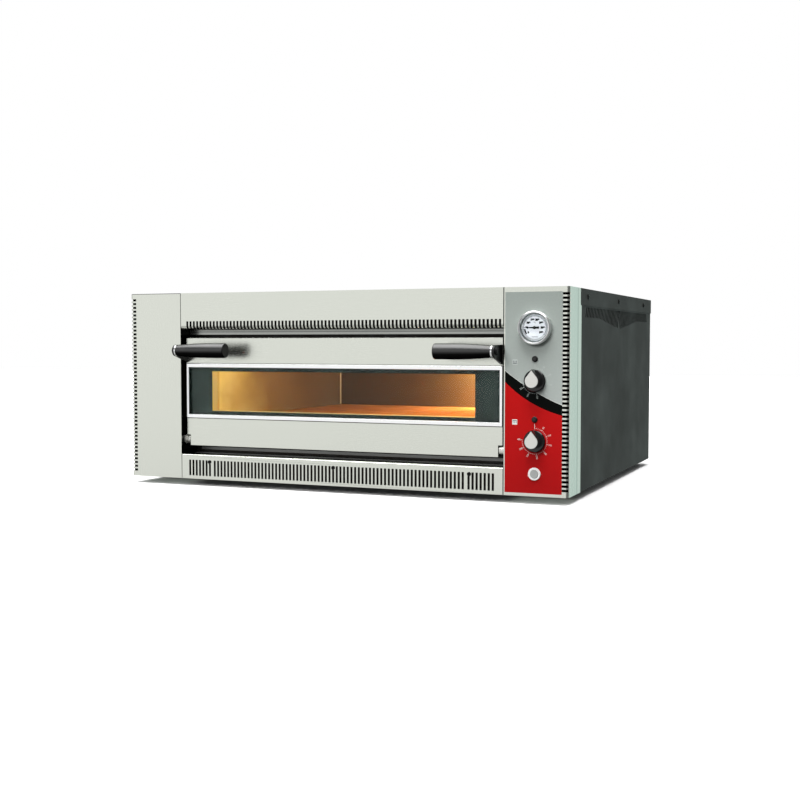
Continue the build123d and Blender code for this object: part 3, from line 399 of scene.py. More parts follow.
def upright_steel():
    """Brushed corner panels with painted shade: dark inner returns, a darker band at the fold of the outer
    return, a dark top edge at left.
    """
    finish, sheet = brushed_base("steel_upright", STEEL, GRAIN_UP)
    # Painted shade and reflection at the fold of the outer return.
    fold = finish.ramp(
        finish.along("Y", CASE.y, CASE.y + 0.1),
        (0.0, grey(1)),
        (0.60, (0.93, 0.97, 0.97, 1)),
        (0.66, (0.62, 0.66, 0.65, 1)),
        (0.72, grey(1)),
        (1.0, grey(1)),
    )
    sheet = finish.blend(1.0, sheet, fold, "MULTIPLY")
    # Painted shade on the inner returns and along the top edge at left.
    behind = finish.along("Y", CASE.y + 0.001, CASE.y + 0.002)
    right_side = finish.along("X", OPENING_HALF, OPENING_HALF - 0.001)
    left_side = finish.along("X", -OPENING_HALF, -OPENING_HALF + 0.001)
    inner = finish.math("MULTIPLY", behind, finish.math("MULTIPLY", right_side, left_side))
    top = finish.along("Z", CASE.z + 0.3986, CASE.z + 0.3992)
    left = finish.along("X", -0.30, -0.31)
    face = finish.along("Y", CASE.y + 0.0004, CASE.y + 0.0002)
    edge = finish.math("MULTIPLY", finish.math("MULTIPLY", top, left), face)
    dark = finish.math("MAXIMUM", inner, edge)
    finish.set("Base Color", finish.blend(dark, sheet, SHADOW))
    return finish.material


def grip_plastic():
    """Black grip; its sheen fades out as the surface turns down, painted shade on the underside."""
    finish = Finish("grip_plastic")
    clouds = finish.noise(30, detail=3)
    finish.set("Base Color", finish.ramp(clouds, (0.35, grey(0.006)), (0.7, grey(0.009))))
    finish.set("Roughness", finish.span(clouds, 0.3, 0.7, 0.30, 0.38))
    shade_by_normal = finish.add("ShaderNodeSeparateXYZ")
    finish.link(finish.add("ShaderNodeNewGeometry").outputs["Normal"], shade_by_normal.inputs[0])
    finish.set("Specular IOR Level", finish.span(shade_by_normal.outputs["Z"], -0.35, 0.25, 0.0, 1.0))
    finish.bump(finish.noise(1400, detail=2), 0.08, 0.0001)
    return finish.material


def paint_base(name, paint, dust):
    """Sprayed case paint with orange peel and faint dust; gives the finish and its colour."""
    finish = Finish(name, specular=0.10)
    clouds = finish.noise(7, detail=4)
    finish.set("Roughness", finish.span(clouds, 0.3, 0.7, 0.44, 0.58))
    finish.bump(finish.noise(900, detail=2), 0.15, 0.0002)
    return finish, finish.ramp(clouds, (0.35, paint), (0.75, dust))


def dark_paint():
    """Case paint of the roof and the back."""
    finish, paint = paint_base("dark_paint", (0.0185, 0.018, 0.0165, 1), (0.027975, 0.0273, 0.025275, 1))
    finish.set("Base Color", paint)
    return finish.material


def side_paint():
    """Case paint on the outer faces; the walls of the vent slots and the inside are near black, painted
    shade.
    """
    finish, paint = paint_base("side_paint", (0.0208, 0.0202, 0.0187, 1), (0.0245, 0.0239, 0.0221, 1))
    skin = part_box("right_side_panel")[1].x - 0.0004
    right = finish.along("X", skin, skin + 0.0002)
    left = finish.along("X", -skin, -skin - 0.0002)
    outside = finish.math("MAXIMUM", right, left)
    # Painted shade: all but the outer skin goes near black.
    finish.set("Base Color", finish.blend(outside, grey(0.002), paint))
    finish.set("Specular IOR Level", finish.span(outside, 0.0, 1.0, 0.0, 0.10))
    return finish.material


def plastic(name, color, roughness=0.4, specular=0.4, texture=0.1, scale=1400):
    """Moulded plastic with a fine spark-eroded texture."""
    finish = Finish(name, specular=specular)
    fine = finish.noise(scale, detail=2)
    clouds = finish.noise(30, detail=3)
    light = tuple(min(1, c * 1.25 + 0.002) for c in color[:3]) + (1,)
    finish.set("Base Color", finish.ramp(clouds, (0.35, color), (0.7, light)))
    finish.set("Roughness", finish.span(clouds, 0.3, 0.7, roughness - 0.05, roughness + 0.06))
    finish.bump(fine, texture, 0.0001)
    return finish.material


def ink(name, color, roughness=0.5):
    """Screen printing ink: a slight unevenness in colour and sheen."""
    finish = Finish(name, specular=0.06)
    mottle = finish.noise(220, detail=3)
    dark = tuple(c * 0.93 for c in color[:3]) + (1,)
    finish.set("Base Color", finish.ramp(mottle, (0.35, dark), (0.65, color)))
    finish.set("Roughness", finish.span(mottle, 0.3, 0.7, roughness - 0.05, roughness + 0.05))
    return finish.material


def graded_print(name, heights, low_color, high_color):
    """Printed plastic sheet that changes colour between two heights above the case's underside."""
    finish = Finish(name, specular=0.15)
    grade = finish.along("Z", CASE.z + heights[0], CASE.z + heights[1])
    mottle = finish.noise(300, detail=3)
    base = finish.ramp(grade, (0.0, low_color), (1.0, high_color))
    soft = finish.ramp(mottle, (0.35, grey(0.96)), (0.65, grey(1)))
    finish.set("Base Color", finish.blend(1.0, base, soft, "MULTIPLY"))
    finish.set("Roughness", finish.span(mottle, 0.3, 0.7, 0.38, 0.47))
    finish.bump(mottle, 0.05, 0.0001)
    return finish.material


def chrome(name, color=(0.86, 0.87, 0.87, 1), roughness=0.12):
    """Smooth bright metal with faint smudges."""
    finish = Finish(name, metallic=1.0)
    smudge = finish.noise(60, detail=4)
    dark = tuple(c * 0.95 for c in color[:3]) + (1,)
    finish.set("Base Color", finish.ramp(smudge, (0.35, dark), (0.65, color)))
    finish.set("Roughness", finish.span(smudge, 0.3, 0.7, roughness - 0.03, roughness + 0.06))
    return finish.material


def clear_glass(name, tint=(0.97, 0.99, 0.98, 1), roughness=0.02):
    """Thin clear pane with a little haze; the low index keeps the room's reflection faint."""
    finish = Finish(name, Transmission_Weight=1.0, IOR=1.12)
    haze = finish.noise(9, detail=4)
    dark = tuple(c * 0.985 for c in tint[:3]) + (1,)
    finish.set("Base Color", finish.ramp(haze, (0.35, dark), (0.7, tint)))
    finish.set("Roughness", finish.span(haze, 0.35, 0.75, roughness * 0.5, roughness * 1.5))
    return finish.material


def chamber_steel():
    """Aluminised liner with a straw heat tint at the front, darkening to brown towards the back-left corner
    as painted shade away from the lamps, with random stains.
    """
    low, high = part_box("chamber_shell")
    finish = Finish("chamber_steel", metallic=0.25, specular=0.3)
    # Painted shade: darker with depth and towards the left, away from the lamps.
    depth = finish.along("Y", low.y, high.y)
    across = finish.along("X", high.x, low.x)
    heat = finish.math("MULTIPLY", depth, finish.span(across, 0.0, 1.0, 0.12, 1.0))
    stain = finish.noise(9, (1, 1, 2), detail=5)
    shift = finish.math("ADD", heat, finish.span(stain, 0.3, 0.7, -0.05, 0.05))
    tint = finish.ramp(
        shift,
        (0.0, (0.86, 0.80, 0.38, 1)),
        (0.14, (0.56, 0.45, 0.19, 1)),
        (0.36, (0.22, 0.135, 0.065, 1)),
        (0.70, (0.12, 0.068, 0.036, 1)),
        (1.0, (0.10, 0.06, 0.034, 1)),
    )
    finish.set("Base Color", tint)
    streaks = finish.noise(120, (1, 1, 12), detail=4)
    finish.set("Roughness", finish.span(streaks, 0.3, 0.7, 0.42, 0.6))
    finish.bump(streaks, 0.1, 0.0002)
    return finish.material


def refractory():
    """Fired tile: sandy grain, pits and scorched patches."""
    finish = Finish("refractory", roughness=0.9, specular=0.15)
    grain = finish.noise(700, detail=4)
    patches = finish.noise(14, detail=5)
    base = finish.ramp(
        patches,
        (0.3, (0.46, 0.15, 0.055, 1)),
        (0.6, (0.66, 0.25, 0.085, 1)),
        (0.8, (0.72, 0.36, 0.17, 1)),
    )
    fleck = finish.ramp(grain, (0.35, (0.78, 0.76, 0.74, 1)), (0.6, grey(1)))
    finish.set("Base Color", finish.blend(1.0, base, fleck, "MULTIPLY"))
    finish.bump(finish.math("ADD", grain, finish.cells(420)), 0.35, 0.0006)
    return finish.material


def woven(name, color, scale=700):
    """Rope or wool: crossing fibres."""
    finish = Finish(name, roughness=0.95, specular=0.1, Sheen_Weight=0.3)
    first = finish.noise(scale, (1, 4, 1), detail=3)
    second = finish.noise(scale, (4, 1, 3), detail=3)
    fibres = finish.math("MULTIPLY", first, second)
    dark = tuple(c * 0.55 for c in color[:3]) + (1,)
    finish.set("Base Color", finish.ramp(fibres, (0.12, dark), (0.4, color)))
    finish.bump(fibres, 0.6, 0.0008)
    return finish.material


def heated_steel(name, color, roughness=0.5):
    """Dull, oxidised steel."""
    finish = Finish(name, metallic=0.8)
    blotch = finish.noise(40, detail=5)
    warm = (color[0] * 1.3, color[1] * 1.1, color[2] * 0.9, 1)
    finish.set("Base Color", finish.ramp(blotch, (0.35, color), (0.7, warm)))
    finish.set("Roughness", finish.span(blotch, 0.3, 0.7, roughness - 0.1, roughness + 0.12))
    finish.bump(finish.noise(500, detail=3), 0.15, 0.0002)
    return finish.material


def rubber():
    """Matt black rubber of the feet."""
    finish = Finish("rubber", specular=0.25)
    grain = finish.noise(500, detail=4)
    finish.set("Base Color", finish.ramp(grain, (0.35, grey(0.012)), (0.7, (0.03, 0.03, 0.029, 1))))
    finish.set("Roughness", finish.span(grain, 0.3, 0.7, 0.65, 0.85))
    finish.bump(grain, 0.3, 0.0003)
    return finish.material


def glowing_bulb():
    """Warm lit glass of the chamber lamp's bulb."""
    finish = Finish("glowing_bulb", roughness=0.3, Emission_Strength=6.0, Emission_Color=(1.0, 0.72, 0.4, 1))
    haze = finish.noise(90, detail=2)
    finish.set("Base Color", finish.ramp(haze, (0.3, (0.9, 0.8, 0.6, 1)), (0.7, (1, 0.92, 0.75, 1))))
    return finish.material


def mask_enamel():
    """Dark enamel on the faces; the tunnel behind the window is bare steel tinted by heat."""
    finish = Finish("mask_enamel", specular=0.12)
    clouds = finish.noise(7, detail=4)
    enamel = finish.ramp(clouds, (0.35, (0.012, 0.021, 0.018, 1)), (0.75, (0.016, 0.025, 0.022, 1)))
    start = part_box("window_mask")[0].y
    depth = finish.along("Y", start + 0.0065, start + 0.0075)
    finish.set("Base Color", finish.blend(depth, enamel, (0.86, 0.68, 0.27, 1)))
    finish.set("Roughness", finish.span(clouds, 0.3, 0.7, 0.32, 0.45))
    finish.bump(finish.noise(900, detail=2), 0.05, 0.0002)
    return finish.material


MATERIALS = {
    "steel_across": brushed("steel_across", STEEL, GRAIN_ACROSS),
    "steel_grille": grille_steel(),
    "steel_fascia": fascia_steel(),
    "steel_upright": upright_steel(),
    "bright_trim": brushed("bright_trim", (0.93, 0.94, 0.94, 1), (0.3, 8, 8), 0.2, 0.02),
    # Near black zinc: painted shade under the case and behind the slots.
    "zinc": brushed("zinc", (0.03, 0.031, 0.032, 1), (1, 1, 1), 0.5, 0.2),
    "inner_zinc": brushed("inner_zinc", (0.02, 0.021, 0.021, 1), (1, 1, 1), 0.7, 0.2, metallic=0.5),
    "side_paint": side_paint(),
    "dark_paint": dark_paint(),
    "mask_enamel": mask_enamel(),
    "liner_steel": brushed("liner_steel", (0.36, 0.33, 0.28, 1), (2, 2, 2), 0.42, 0.06),
    # Black felt behind the side vents: painted shade inside the vents.
    "vent_shade_felt": woven("vent_shade_felt", grey(0.006)),
    # Near black mouth steel: painted shade of the recess round the door; the heat blotches are its own.
    "mouth_steel": heated_steel("mouth_steel", (0.035, 0.035, 0.034, 1)),
    "heater_steel": heated_steel("heater_steel", (0.10, 0.085, 0.075, 1)),
    "spring_steel": heated_steel("spring_steel", grey(0.30), roughness=0.35),
    "chrome": chrome("chrome"),
    "bezel_steel": chrome("bezel_steel", color=(0.93, 0.94, 0.94, 1), roughness=0.3),
    "silver_plate": brushed("silver_plate", (0.80, 0.80, 0.76, 1), (0.4, 6, 14), 0.38, 0.05),
    "black_plastic": plastic("black_plastic", grey(0.006), roughness=0.38),
    "knob_plastic": plastic("knob_plastic", grey(0.004), roughness=0.13, specular=0.45, texture=0.04),
    "grip_plastic": grip_plastic(),
    "lamp_plastic": plastic("lamp_plastic", grey(0.012), roughness=0.08, specular=0.3, texture=0.02),
    "plated_steel": brushed("plated_steel", (0.80, 0.80, 0.75, 1), (2, 2, 2), 0.5, 0.06),
    "satin_steel": brushed("satin_steel", (0.82, 0.82, 0.77, 1), (8, 2, 2), 0.45, 0.08),
    # Sill steel is a darker copy of the steel: painted shade of the recess under the door.
    "sill_steel": brushed("sill_steel", (0.26, 0.265, 0.255, 1), (0.3, 6, 6), 0.45, 0.06),
    # Pale bead steel: a painted highlight along the chamber's back-left corner.
    "bead_highlight_steel": brushed("bead_highlight_steel", (0.95, 0.80, 0.60, 1), (6, 6, 0.3), 0.4, 0.04, metallic=0.3),
    "white_plastic": plastic("white_plastic", (0.80, 0.80, 0.79, 1), roughness=0.3, texture=0.04),
    "grey_plastic": plastic("grey_plastic", (0.34, 0.35, 0.345, 1), roughness=0.28, texture=0.05),
    "ceramic": plastic("ceramic", (0.72, 0.70, 0.64, 1), roughness=0.5, scale=800),
    "black_oxide": plastic("black_oxide", grey(0.003), roughness=0.5, specular=0.15),
    "rubber": rubber(),
    "overlay": graded_print("overlay", (0.17, 0.39), srgb(170, 177, 173), srgb(149, 157, 152)),
    "red_ink": graded_print("red_ink", (0.0, 0.22), srgb(158, 16, 18), srgb(190, 20, 21)),
    "black_ink": ink("black_ink", srgb(3, 5, 4)),
    "white_ink": ink("white_ink", srgb(232, 234, 230)),
    "pale_ink": ink("pale_ink", srgb(186, 193, 189)),
    "grey_ink": ink("grey_ink", srgb(96, 100, 104)),
    # Dark rim of the dial: painted shade of the bezel.
    "dial_rim_shade": ink("dial_rim_shade", srgb(88, 96, 94)),
    "dial_band": ink("dial_band", srgb(158, 163, 166)),
    "dial_white": ink("dial_white", srgb(196, 201, 206)),
    "needle_black": ink("needle_black", srgb(14, 18, 20), roughness=0.3),
    "door_glass": clear_glass("door_glass"),
    "lens_glass": clear_glass("lens_glass", tint=grey(1), roughness=0.01),
    "chamber_steel": chamber_steel(),
    "refractory": refractory(),
    "seal_rope": woven("seal_rope", (0.32, 0.31, 0.29, 1)),
    "mineral_wool": woven("mineral_wool", (0.50, 0.45, 0.30, 1), scale=300),
    "glowing_bulb": glowing_bulb(),
}

NODE_FINISH = {
    "steel_across": ["door_upper_panel", "door_lower_panel"],
    "steel_fascia": ["top_fascia"],
    "steel_grille": ["lower_grille"],
    "steel_upright": ["left_front_panel", "control_panel"],
    "bright_trim": ["window_trim"],
    "zinc": ["base_pan"],
    "inner_zinc": ["service_partition"],
    "dark_paint": ["roof_cover", "rear_panel"],
    "side_paint": ["left_side_panel", "right_side_panel"],
    "mask_enamel": ["window_mask"],
    "liner_steel": ["door_inner_panel"],
    "mouth_steel": ["mouth_frame", "stone_rails", "lamp_housing", "spring_seats", "spring_cranks"],
    "heater_steel": ["upper_heaters", "lower_heaters", "sensor_probes"],
    "spring_steel": ["door_springs"],
    "bezel_steel": ["gauge_case"],
    "chrome": ["handle_collars", "hinge_pins"],
    "silver_plate": ["knob_upper_insert", "knob_lower_insert"],
    "black_plastic": ["cable_gland", "thermostats", "terminal_block", "handle_brackets"],
    "grip_plastic": ["handle_grips"],
    "knob_plastic": ["knob_upper", "knob_lower"],
    "plated_steel": ["hinge_brackets"],
    "satin_steel": ["hinge_bushings"],
    "lamp_plastic": ["pilot_lamps"],
    "white_plastic": ["light_button_ring"],
    "grey_plastic": ["light_button"],
    "ceramic": ["heater_terminals"],
    "black_oxide": ["case_screws", "handle_bolts"],
    "rubber": ["feet"],
    "overlay": ["control_overlay"],
    "dial_white": ["gauge_dial"],
    "needle_black": ["gauge_needle"],
    "door_glass": ["outer_glass", "inner_glass"],
    "lens_glass": ["gauge_lens", "lamp_lens"],
    "chamber_steel": ["chamber_shell"],
    "refractory": ["hearth_stones"],
    "seal_rope": ["door_seal"],
    "mineral_wool": ["insulation_top", "insulation_bottom", "insulation_walls", "door_insulation"],
    "glowing_bulb": ["lamp_bulb"],
}


def dress_cad_nodes():
    """Give every CAD node its material."""
    for finish, nodes in NODE_FINISH.items():
        for node in nodes:
            mesh = NODES[node].data
            mesh.materials.clear()
            mesh.materials.append(MATERIALS[finish])


# ---------------------------------------------------------------- printed pieces
INK_THICKNESS = 0.00006
INK_SINK = 0.00002


def add_prism(mesh, outline, y_back, y_front, index=0):
    """A flat print in the XZ plane: a closed prism between two depths."""
    front = [mesh.verts.new((x, y_front, z)) for x, z in outline]
    back = [mesh.verts.new((x, y_back, z)) for x, z in outline]
    faces = [mesh.faces.new(front), mesh.faces.new(list(reversed(back)))]
    count = len(outline)
    for i in range(count):
        j = (i + 1) % count
        faces.append(mesh.faces.new((front[j], front[i], back[i], back[j])))
    for face in faces:
        face.material_index = index


def finish_piece(mesh, name, materials, body, smooth=False):
    """Turn a bmesh into an object that rides on a body."""
    bmesh.ops.recalc_face_normals(mesh, faces=mesh.faces)
    data = bpy.data.meshes.new(name)
    mesh.to_mesh(data)
    mesh.free()
    for material in materials:
        data.materials.append(MATERIALS[material])
    for polygon in data.polygons:
        polygon.use_smooth = smooth
    piece = bpy.data.objects.new(name, data)
    bpy.context.scene.collection.objects.link(piece)
    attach(piece, body)
    return piece


def circle_through(a, b, c, count):
    """Points on the arc from a to c that passes through b."""
    ax, az = a
    bx, bz = b
    cx, cz = c
    d = 2 * (ax * (bz - cz) + bx * (cz - az) + cx * (az - bz))
    aa, bb, cc = ax * ax + az * az, bx * bx + bz * bz, cx * cx + cz * cz
    x = (aa * (bz - cz) + bb * (cz - az) + cc * (az - bz)) / d
    z = (aa * (cx - bx) + bb * (ax - cx) + cc * (bx - ax)) / d
    radius = math.hypot(ax - x, az - z)
    start = math.atan2(az - z, ax - x)
    end = math.atan2(cz - z, cx - x)
    turns = [start + (end - start) * i / count for i in range(count + 1)]
    return [(x + radius * math.cos(turn), z + radius * math.sin(turn)) for turn in turns]


def polar(centre, radius, degrees):
    """A point at a clock angle: 0 at the top, positive clockwise as seen from the front."""
    turn = math.radians(degrees)
    return (centre[0] + radius * math.sin(turn), centre[1] + radius * math.cos(turn))


def add_tick(mesh, centre, degrees, inner, outer, width, y_back, y_front):
    """A radial stroke."""
    half = width / 2
    turn = math.radians(degrees)
    across = (math.cos(turn) * half, -math.sin(turn) * half)
    a = polar(centre, inner, degrees)
    b = polar(centre, outer, degrees)
    outline = [
        (a[0] - across[0], a[1] - across[1]),
        (a[0] + across[0], a[1] + across[1]),
        (b[0] + across[0], b[1] + across[1]),
        (b[0] - across[0], b[1] - across[1]),
    ]
    add_prism(mesh, outline, y_back, y_front)


def add_arc(mesh, centre, start, end, radius, width, y_back, y_front, step=6):
    """A thin ring segment, drawn as short strokes."""
    count = max(1, int(abs(end - start) / step))
    inner = radius - width / 2
    outer = radius + width / 2
    for i in range(count):
        a = start + (end - start) * i / count
        b = start + (end - start) * (i + 1) / count
        corners = ((inner, a), (outer, a), (outer, b), (inner, b))
        outline = [polar(centre, reach, angle) for reach, angle in corners]
        add_prism(mesh, outline, y_back, y_front)


def add_number(mesh, number, height, centre, degrees, y_back, y_front, heavy=0.0):
    """A number whose middle is at centre, turned clockwise by degrees as seen from the front."""
    curve = bpy.data.curves.new("number", "FONT")
    curve.body = str(number)
    curve.size = height
    curve.align_x = "CENTER"
    curve.align_y = "CENTER"
    curve.extrude = abs(y_back - y_front) / 2
    curve.offset = heavy
    curve.resolution_u = 3
    holder = bpy.data.objects.new("number", curve)
    bpy.context.scene.collection.objects.link(holder)
    flat = bpy.data.meshes.new_from_object(holder)
    stand = Matrix.Rotation(math.radians(90), 4, "X")
    turn = Matrix.Rotation(math.radians(degrees), 4, "Y")
    flat.transform(Matrix.Translation((centre[0], (y_back + y_front) / 2, centre[1])) @ turn @ stand)
    flat.materials.clear()
    mesh.from_mesh(flat)
    bpy.data.objects.remove(holder)
    bpy.data.curves.remove(curve)
    bpy.data.meshes.remove(flat)


def case_xz(x, z):
    """A place on the front, in millimetres from the case's own origin, as frame X and Z."""
    point = case_point(x, 0, z)
    return (point.x, point.z)


# Three points on each edge of the black band, in millimetres from the case's own origin.
SWOOSH_TOP = ((367.2, 240.0), (420.0, 204.4), (480.0, 175.4))
SWOOSH_LOW = ((367.2, 219.0), (413.0, 183.4), (480.0, 156.2))
SWOOSH_STEPS = 24
HAIRLINE = 0.7


def overlay_fields():
    """Red field, black band and pale hairline of the control overlay."""
    low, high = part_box("control_overlay")
    top_edge = circle_through(*[case_xz(*point) for point in SWOOSH_TOP], SWOOSH_STEPS)
    low_edge = circle_through(*[case_xz(*point) for point in SWOOSH_LOW], SWOOSH_STEPS)
    line_edge = [(x, z + HAIRLINE * MM) for x, z in top_edge]
    fields = (
        ("overlay_red_field", "red_ink", low_edge + [(high.x, low.z), (low.x, low.z)]),
        ("overlay_black_band", "black_ink", top_edge + low_edge[::-1]),
        ("overlay_hairline", "white_ink", line_edge + top_edge[::-1]),
    )
    for name, material, outline in fields:
        mesh = bmesh.new()
        add_prism(mesh, outline, OVERLAY_FRONT + INK_SINK, OVERLAY_FRONT - INK_THICKNESS)
        finish_piece(mesh, name, [material], "chassis")


# Scales round the knobs: clock angles in degrees, the rest in metres.
KNOB_NUMBERS = range(50, 401, 50)
KNOB_STEP = 34.3
SCALE_RADIUS = 0.0245
NUMBER_RADIUS = 0.0310
KNOB_NUMBER_HEIGHT = 0.0046
ZERO_STROKE, MAJOR_STROKE, MINOR_STROKE = 0.0085, 0.0022, 0.0012
BOLD_LINE, FINE_LINE = 0.0008, 0.0004
# The middle of the pointed insert lies about this far above the knob's axis.
INSERT_RISE = 0.004


def knob_scale(name, knob, colour):
    """Ring, ticks and numbers printed round a knob, on top of the fields."""
    centre = (CONTROL_X, middle(knob + "_insert").z - INSERT_RISE)
    back = OVERLAY_FRONT - INK_THICKNESS / 2
    front = OVERLAY_FRONT - 2 * INK_THICKNESS
    mesh = bmesh.new()

    def stroke(angle, length, width):
        add_tick(mesh, centre, angle, SCALE_RADIUS, SCALE_RADIUS + length, width, back, front)

    add_arc(mesh, centre, 0, KNOB_STEP * len(KNOB_NUMBERS), SCALE_RADIUS - 0.0003, 0.0002, back, front)
    stroke(0, ZERO_STROKE, BOLD_LINE)
    for index, number in enumerate(KNOB_NUMBERS, start=1):
        angle = index * KNOB_STEP
        stroke(angle, MAJOR_STROKE, BOLD_LINE)
        reading = angle - 90 if angle <= 180 else angle + 90
        place = polar(centre, NUMBER_RADIUS, angle)
        add_number(mesh, number, KNOB_NUMBER_HEIGHT, place, reading, back, front)
        for part in (1, 2, 3):
            stroke(angle - KNOB_STEP * part / 4, MINOR_STROKE, FINE_LINE)
    finish_piece(mesh, name, [colour], "chassis")


# Heat pictures, in millimetres: place across, half side, stone bar and heat strokes.
ICON_X, ICON_HALF = 387.0, 5.0
BAR_HALF_LENGTH, BAR_HALF_WIDTH, BAR_OFFSET = 4.0, 0.7, 2.6
STROKE_HALF_LENGTH, STROKE_HALF_WIDTH, STROKE_OFFSET = 2.0, 0.5, 0.6
STROKE_GAP = 3.0


def case_rectangle(x, z, half_x, half_z):
    """Corners of a rectangle on the front, given in millimetres from the case's own origin."""
    corners = ((-half_x, -half_z), (half_x, -half_z), (half_x, half_z), (-half_x, half_z))
    return [case_xz(x + across, z + up) for across, up in corners]


def heat_icon(name, z, upper):
    """Small pale square with a bar for the stone and three strokes for the heat above or below it."""
    back = OVERLAY_FRONT - INK_THICKNESS / 2
    front = OVERLAY_FRONT - 2 * INK_THICKNESS
    mark_front = OVERLAY_FRONT - 3 * INK_THICKNESS
    way = 1 if upper else -1
    mesh = bmesh.new()
    add_prism(mesh, case_rectangle(ICON_X, z, ICON_HALF, ICON_HALF), back, front, 0)
    bar = case_rectangle(ICON_X, z - way * BAR_OFFSET, BAR_HALF_LENGTH, BAR_HALF_WIDTH)
    add_prism(mesh, bar, front, mark_front, 1)
    for x in (ICON_X - STROKE_GAP, ICON_X, ICON_X + STROKE_GAP):
        heat = case_rectangle(x, z + way * STROKE_OFFSET, STROKE_HALF_WIDTH, STROKE_HALF_LENGTH)
        add_prism(mesh, heat, front, mark_front, 1)
    square = "pale_ink" if upper else "white_ink"
    finish_piece(mesh, name, [square, "grey_ink"], "chassis")


# Thermometer dial: clock angles in degrees, the rest in metres.
GAUGE_START, GAUGE_STEP = -126.0, 36.0
GAUGE_NUMBERS = range(0, 351, 50)
GAUGE_TICKS = 10
GAUGE_NUMBER_HEIGHT, GAUGE_NUMBER_RADIUS, GAUGE_NUMBER_WEIGHT = 0.0050, 0.0156, 0.0006
DIAL_RINGS = (("gauge_rim_shade", "dial_rim_shade", 0.0266, 0.0024), ("gauge_band", "dial_band", 0.0232, 0.0042))
TICK_OUTER, HALF_TICK, SHORT_TICK = 0.0235, 0.0030, 0.0020
LOW_RANGE_START, LOW_RANGE_END, LOW_RANGE_RADIUS, LOW_RANGE_WIDTH = -98, -127, 0.0198, 0.0028
LETTERING_DROP, LETTERING_HALF, LETTERING_WIDTH = 0.0175, 0.006, 0.0012


def gauge_rings(centre, face):
    """Grey rim and band round the white of the dial; the dark rim is painted shade of the bezel."""
    for name, material, radius, width in DIAL_RINGS:
        mesh = bmesh.new()
        add_arc(mesh, centre, 0, 360, radius, width, face + INK_SINK, face - INK_THICKNESS / 2, step=4)
        finish_piece(mesh, name, [material], "chassis")


def gauge_fine_scale(centre, face):
    """Ticks, their ring, and a plain bar where a dial has its lettering."""
    back, front = face + INK_SINK, face - INK_THICKNESS
    mesh = bmesh.new()
    for index in range(GAUGE_TICKS * (len(GAUGE_NUMBERS) - 1) + 1):
        angle = GAUGE_START + GAUGE_STEP * index / GAUGE_TICKS
        major = index % (GAUGE_TICKS // 2) == 0
        inner = TICK_OUTER - (HALF_TICK if major else SHORT_TICK)
        add_tick(mesh, centre, angle, inner, TICK_OUTER, 0.0007 if major else 0.0004, back, front)
    add_arc(mesh, centre, GAUGE_START, -GAUGE_START, TICK_OUTER + 0.0002, 0.0005, back, front, step=3)
    lettering = (centre[0], centre[1] - LETTERING_DROP)
    add_tick(mesh, lettering, 90, -LETTERING_HALF, LETTERING_HALF, LETTERING_WIDTH, back, front)
    finish_piece(mesh, "gauge_fine_scale", ["grey_ink"], "chassis")


def gauge_numbers(centre, face):
    """Bold arc of the low range, the numbers, and the sign for degrees Celsius."""
    back, front = face + INK_SINK, face - INK_THICKNESS
    low_front = front - INK_THICKNESS
    mesh = bmesh.new()
    low_range = (LOW_RANGE_START, LOW_RANGE_END, LOW_RANGE_RADIUS, LOW_RANGE_WIDTH)
    add_arc(mesh, centre, *low_range, back, low_front, step=3)
    for index, number in enumerate(GAUGE_NUMBERS):
        place = polar(centre, GAUGE_NUMBER_RADIUS, GAUGE_START + GAUGE_STEP * index)
        add_number(mesh, number, GAUGE_NUMBER_HEIGHT, place, 0, back, front, heavy=GAUGE_NUMBER_WEIGHT)
    add_arc(mesh, (centre[0] - 0.0012, centre[1] + 0.0105), 0, 360, 0.0008, 0.0004, back, front, step=30)
    add_number(mesh, "C", 0.0036, (centre[0] + 0.0012, centre[1] + 0.0092), 0, back, front)
    finish_piece(mesh, "gauge_numbers", ["needle_black"], "chassis")


def gauge_print():
    """Everything printed on the thermometer's dial, and the dark rim of painted shade under the bezel."""
    place = middle("gauge_dial")
    centre = (place.x, place.z)
    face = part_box("gauge_dial")[0].y
    gauge_rings(centre, face)
    gauge_fine_scale(centre, face)
    gauge_numbers(centre, face)


# ---------------------------------------------------------------- small metal pieces
def add_bar(name, low, high, material):
    """A fixed bar between two corners, its long edges eased."""
    mesh = bmesh.new()
    size = high - low
    place = Matrix.Translation((low + high) / 2) @ Matrix.Diagonal((*size, 1))
    bmesh.ops.create_cube(mesh, size=1.0, matrix=place)
    bmesh.ops.bevel(mesh, geom=list(mesh.edges), offset=min(size) * 0.25, segments=2, affect="EDGES")
    finish_piece(mesh, name, [material], "chassis")


# Depth of the mouth behind the case's front, in millimetres; the rest in metres.
MOUTH_DEPTH = 62
TOUCH = 0.00005
SILL_HALF, SILL_BACK, SILL_FRONT, SILL_TOP = 0.356, 0.002, 0.024, 0.0011
LIP_HALF, LIP_THICKNESS, LIP_LOW, LIP_TOP = 0.352, 0.0016, 0.0055, 0.0115
BEAD_SIZE, BEAD_GAP = 0.003, 0.0002
# Black felt behind the side vents, painted shade inside the vents.
FELT_DEEP, FELT_SHALLOW, FELT_MARGIN, FELT_LOW, FELT_HIGH = 0.0042, 0.0030, 0.03, 0.315, 0.368


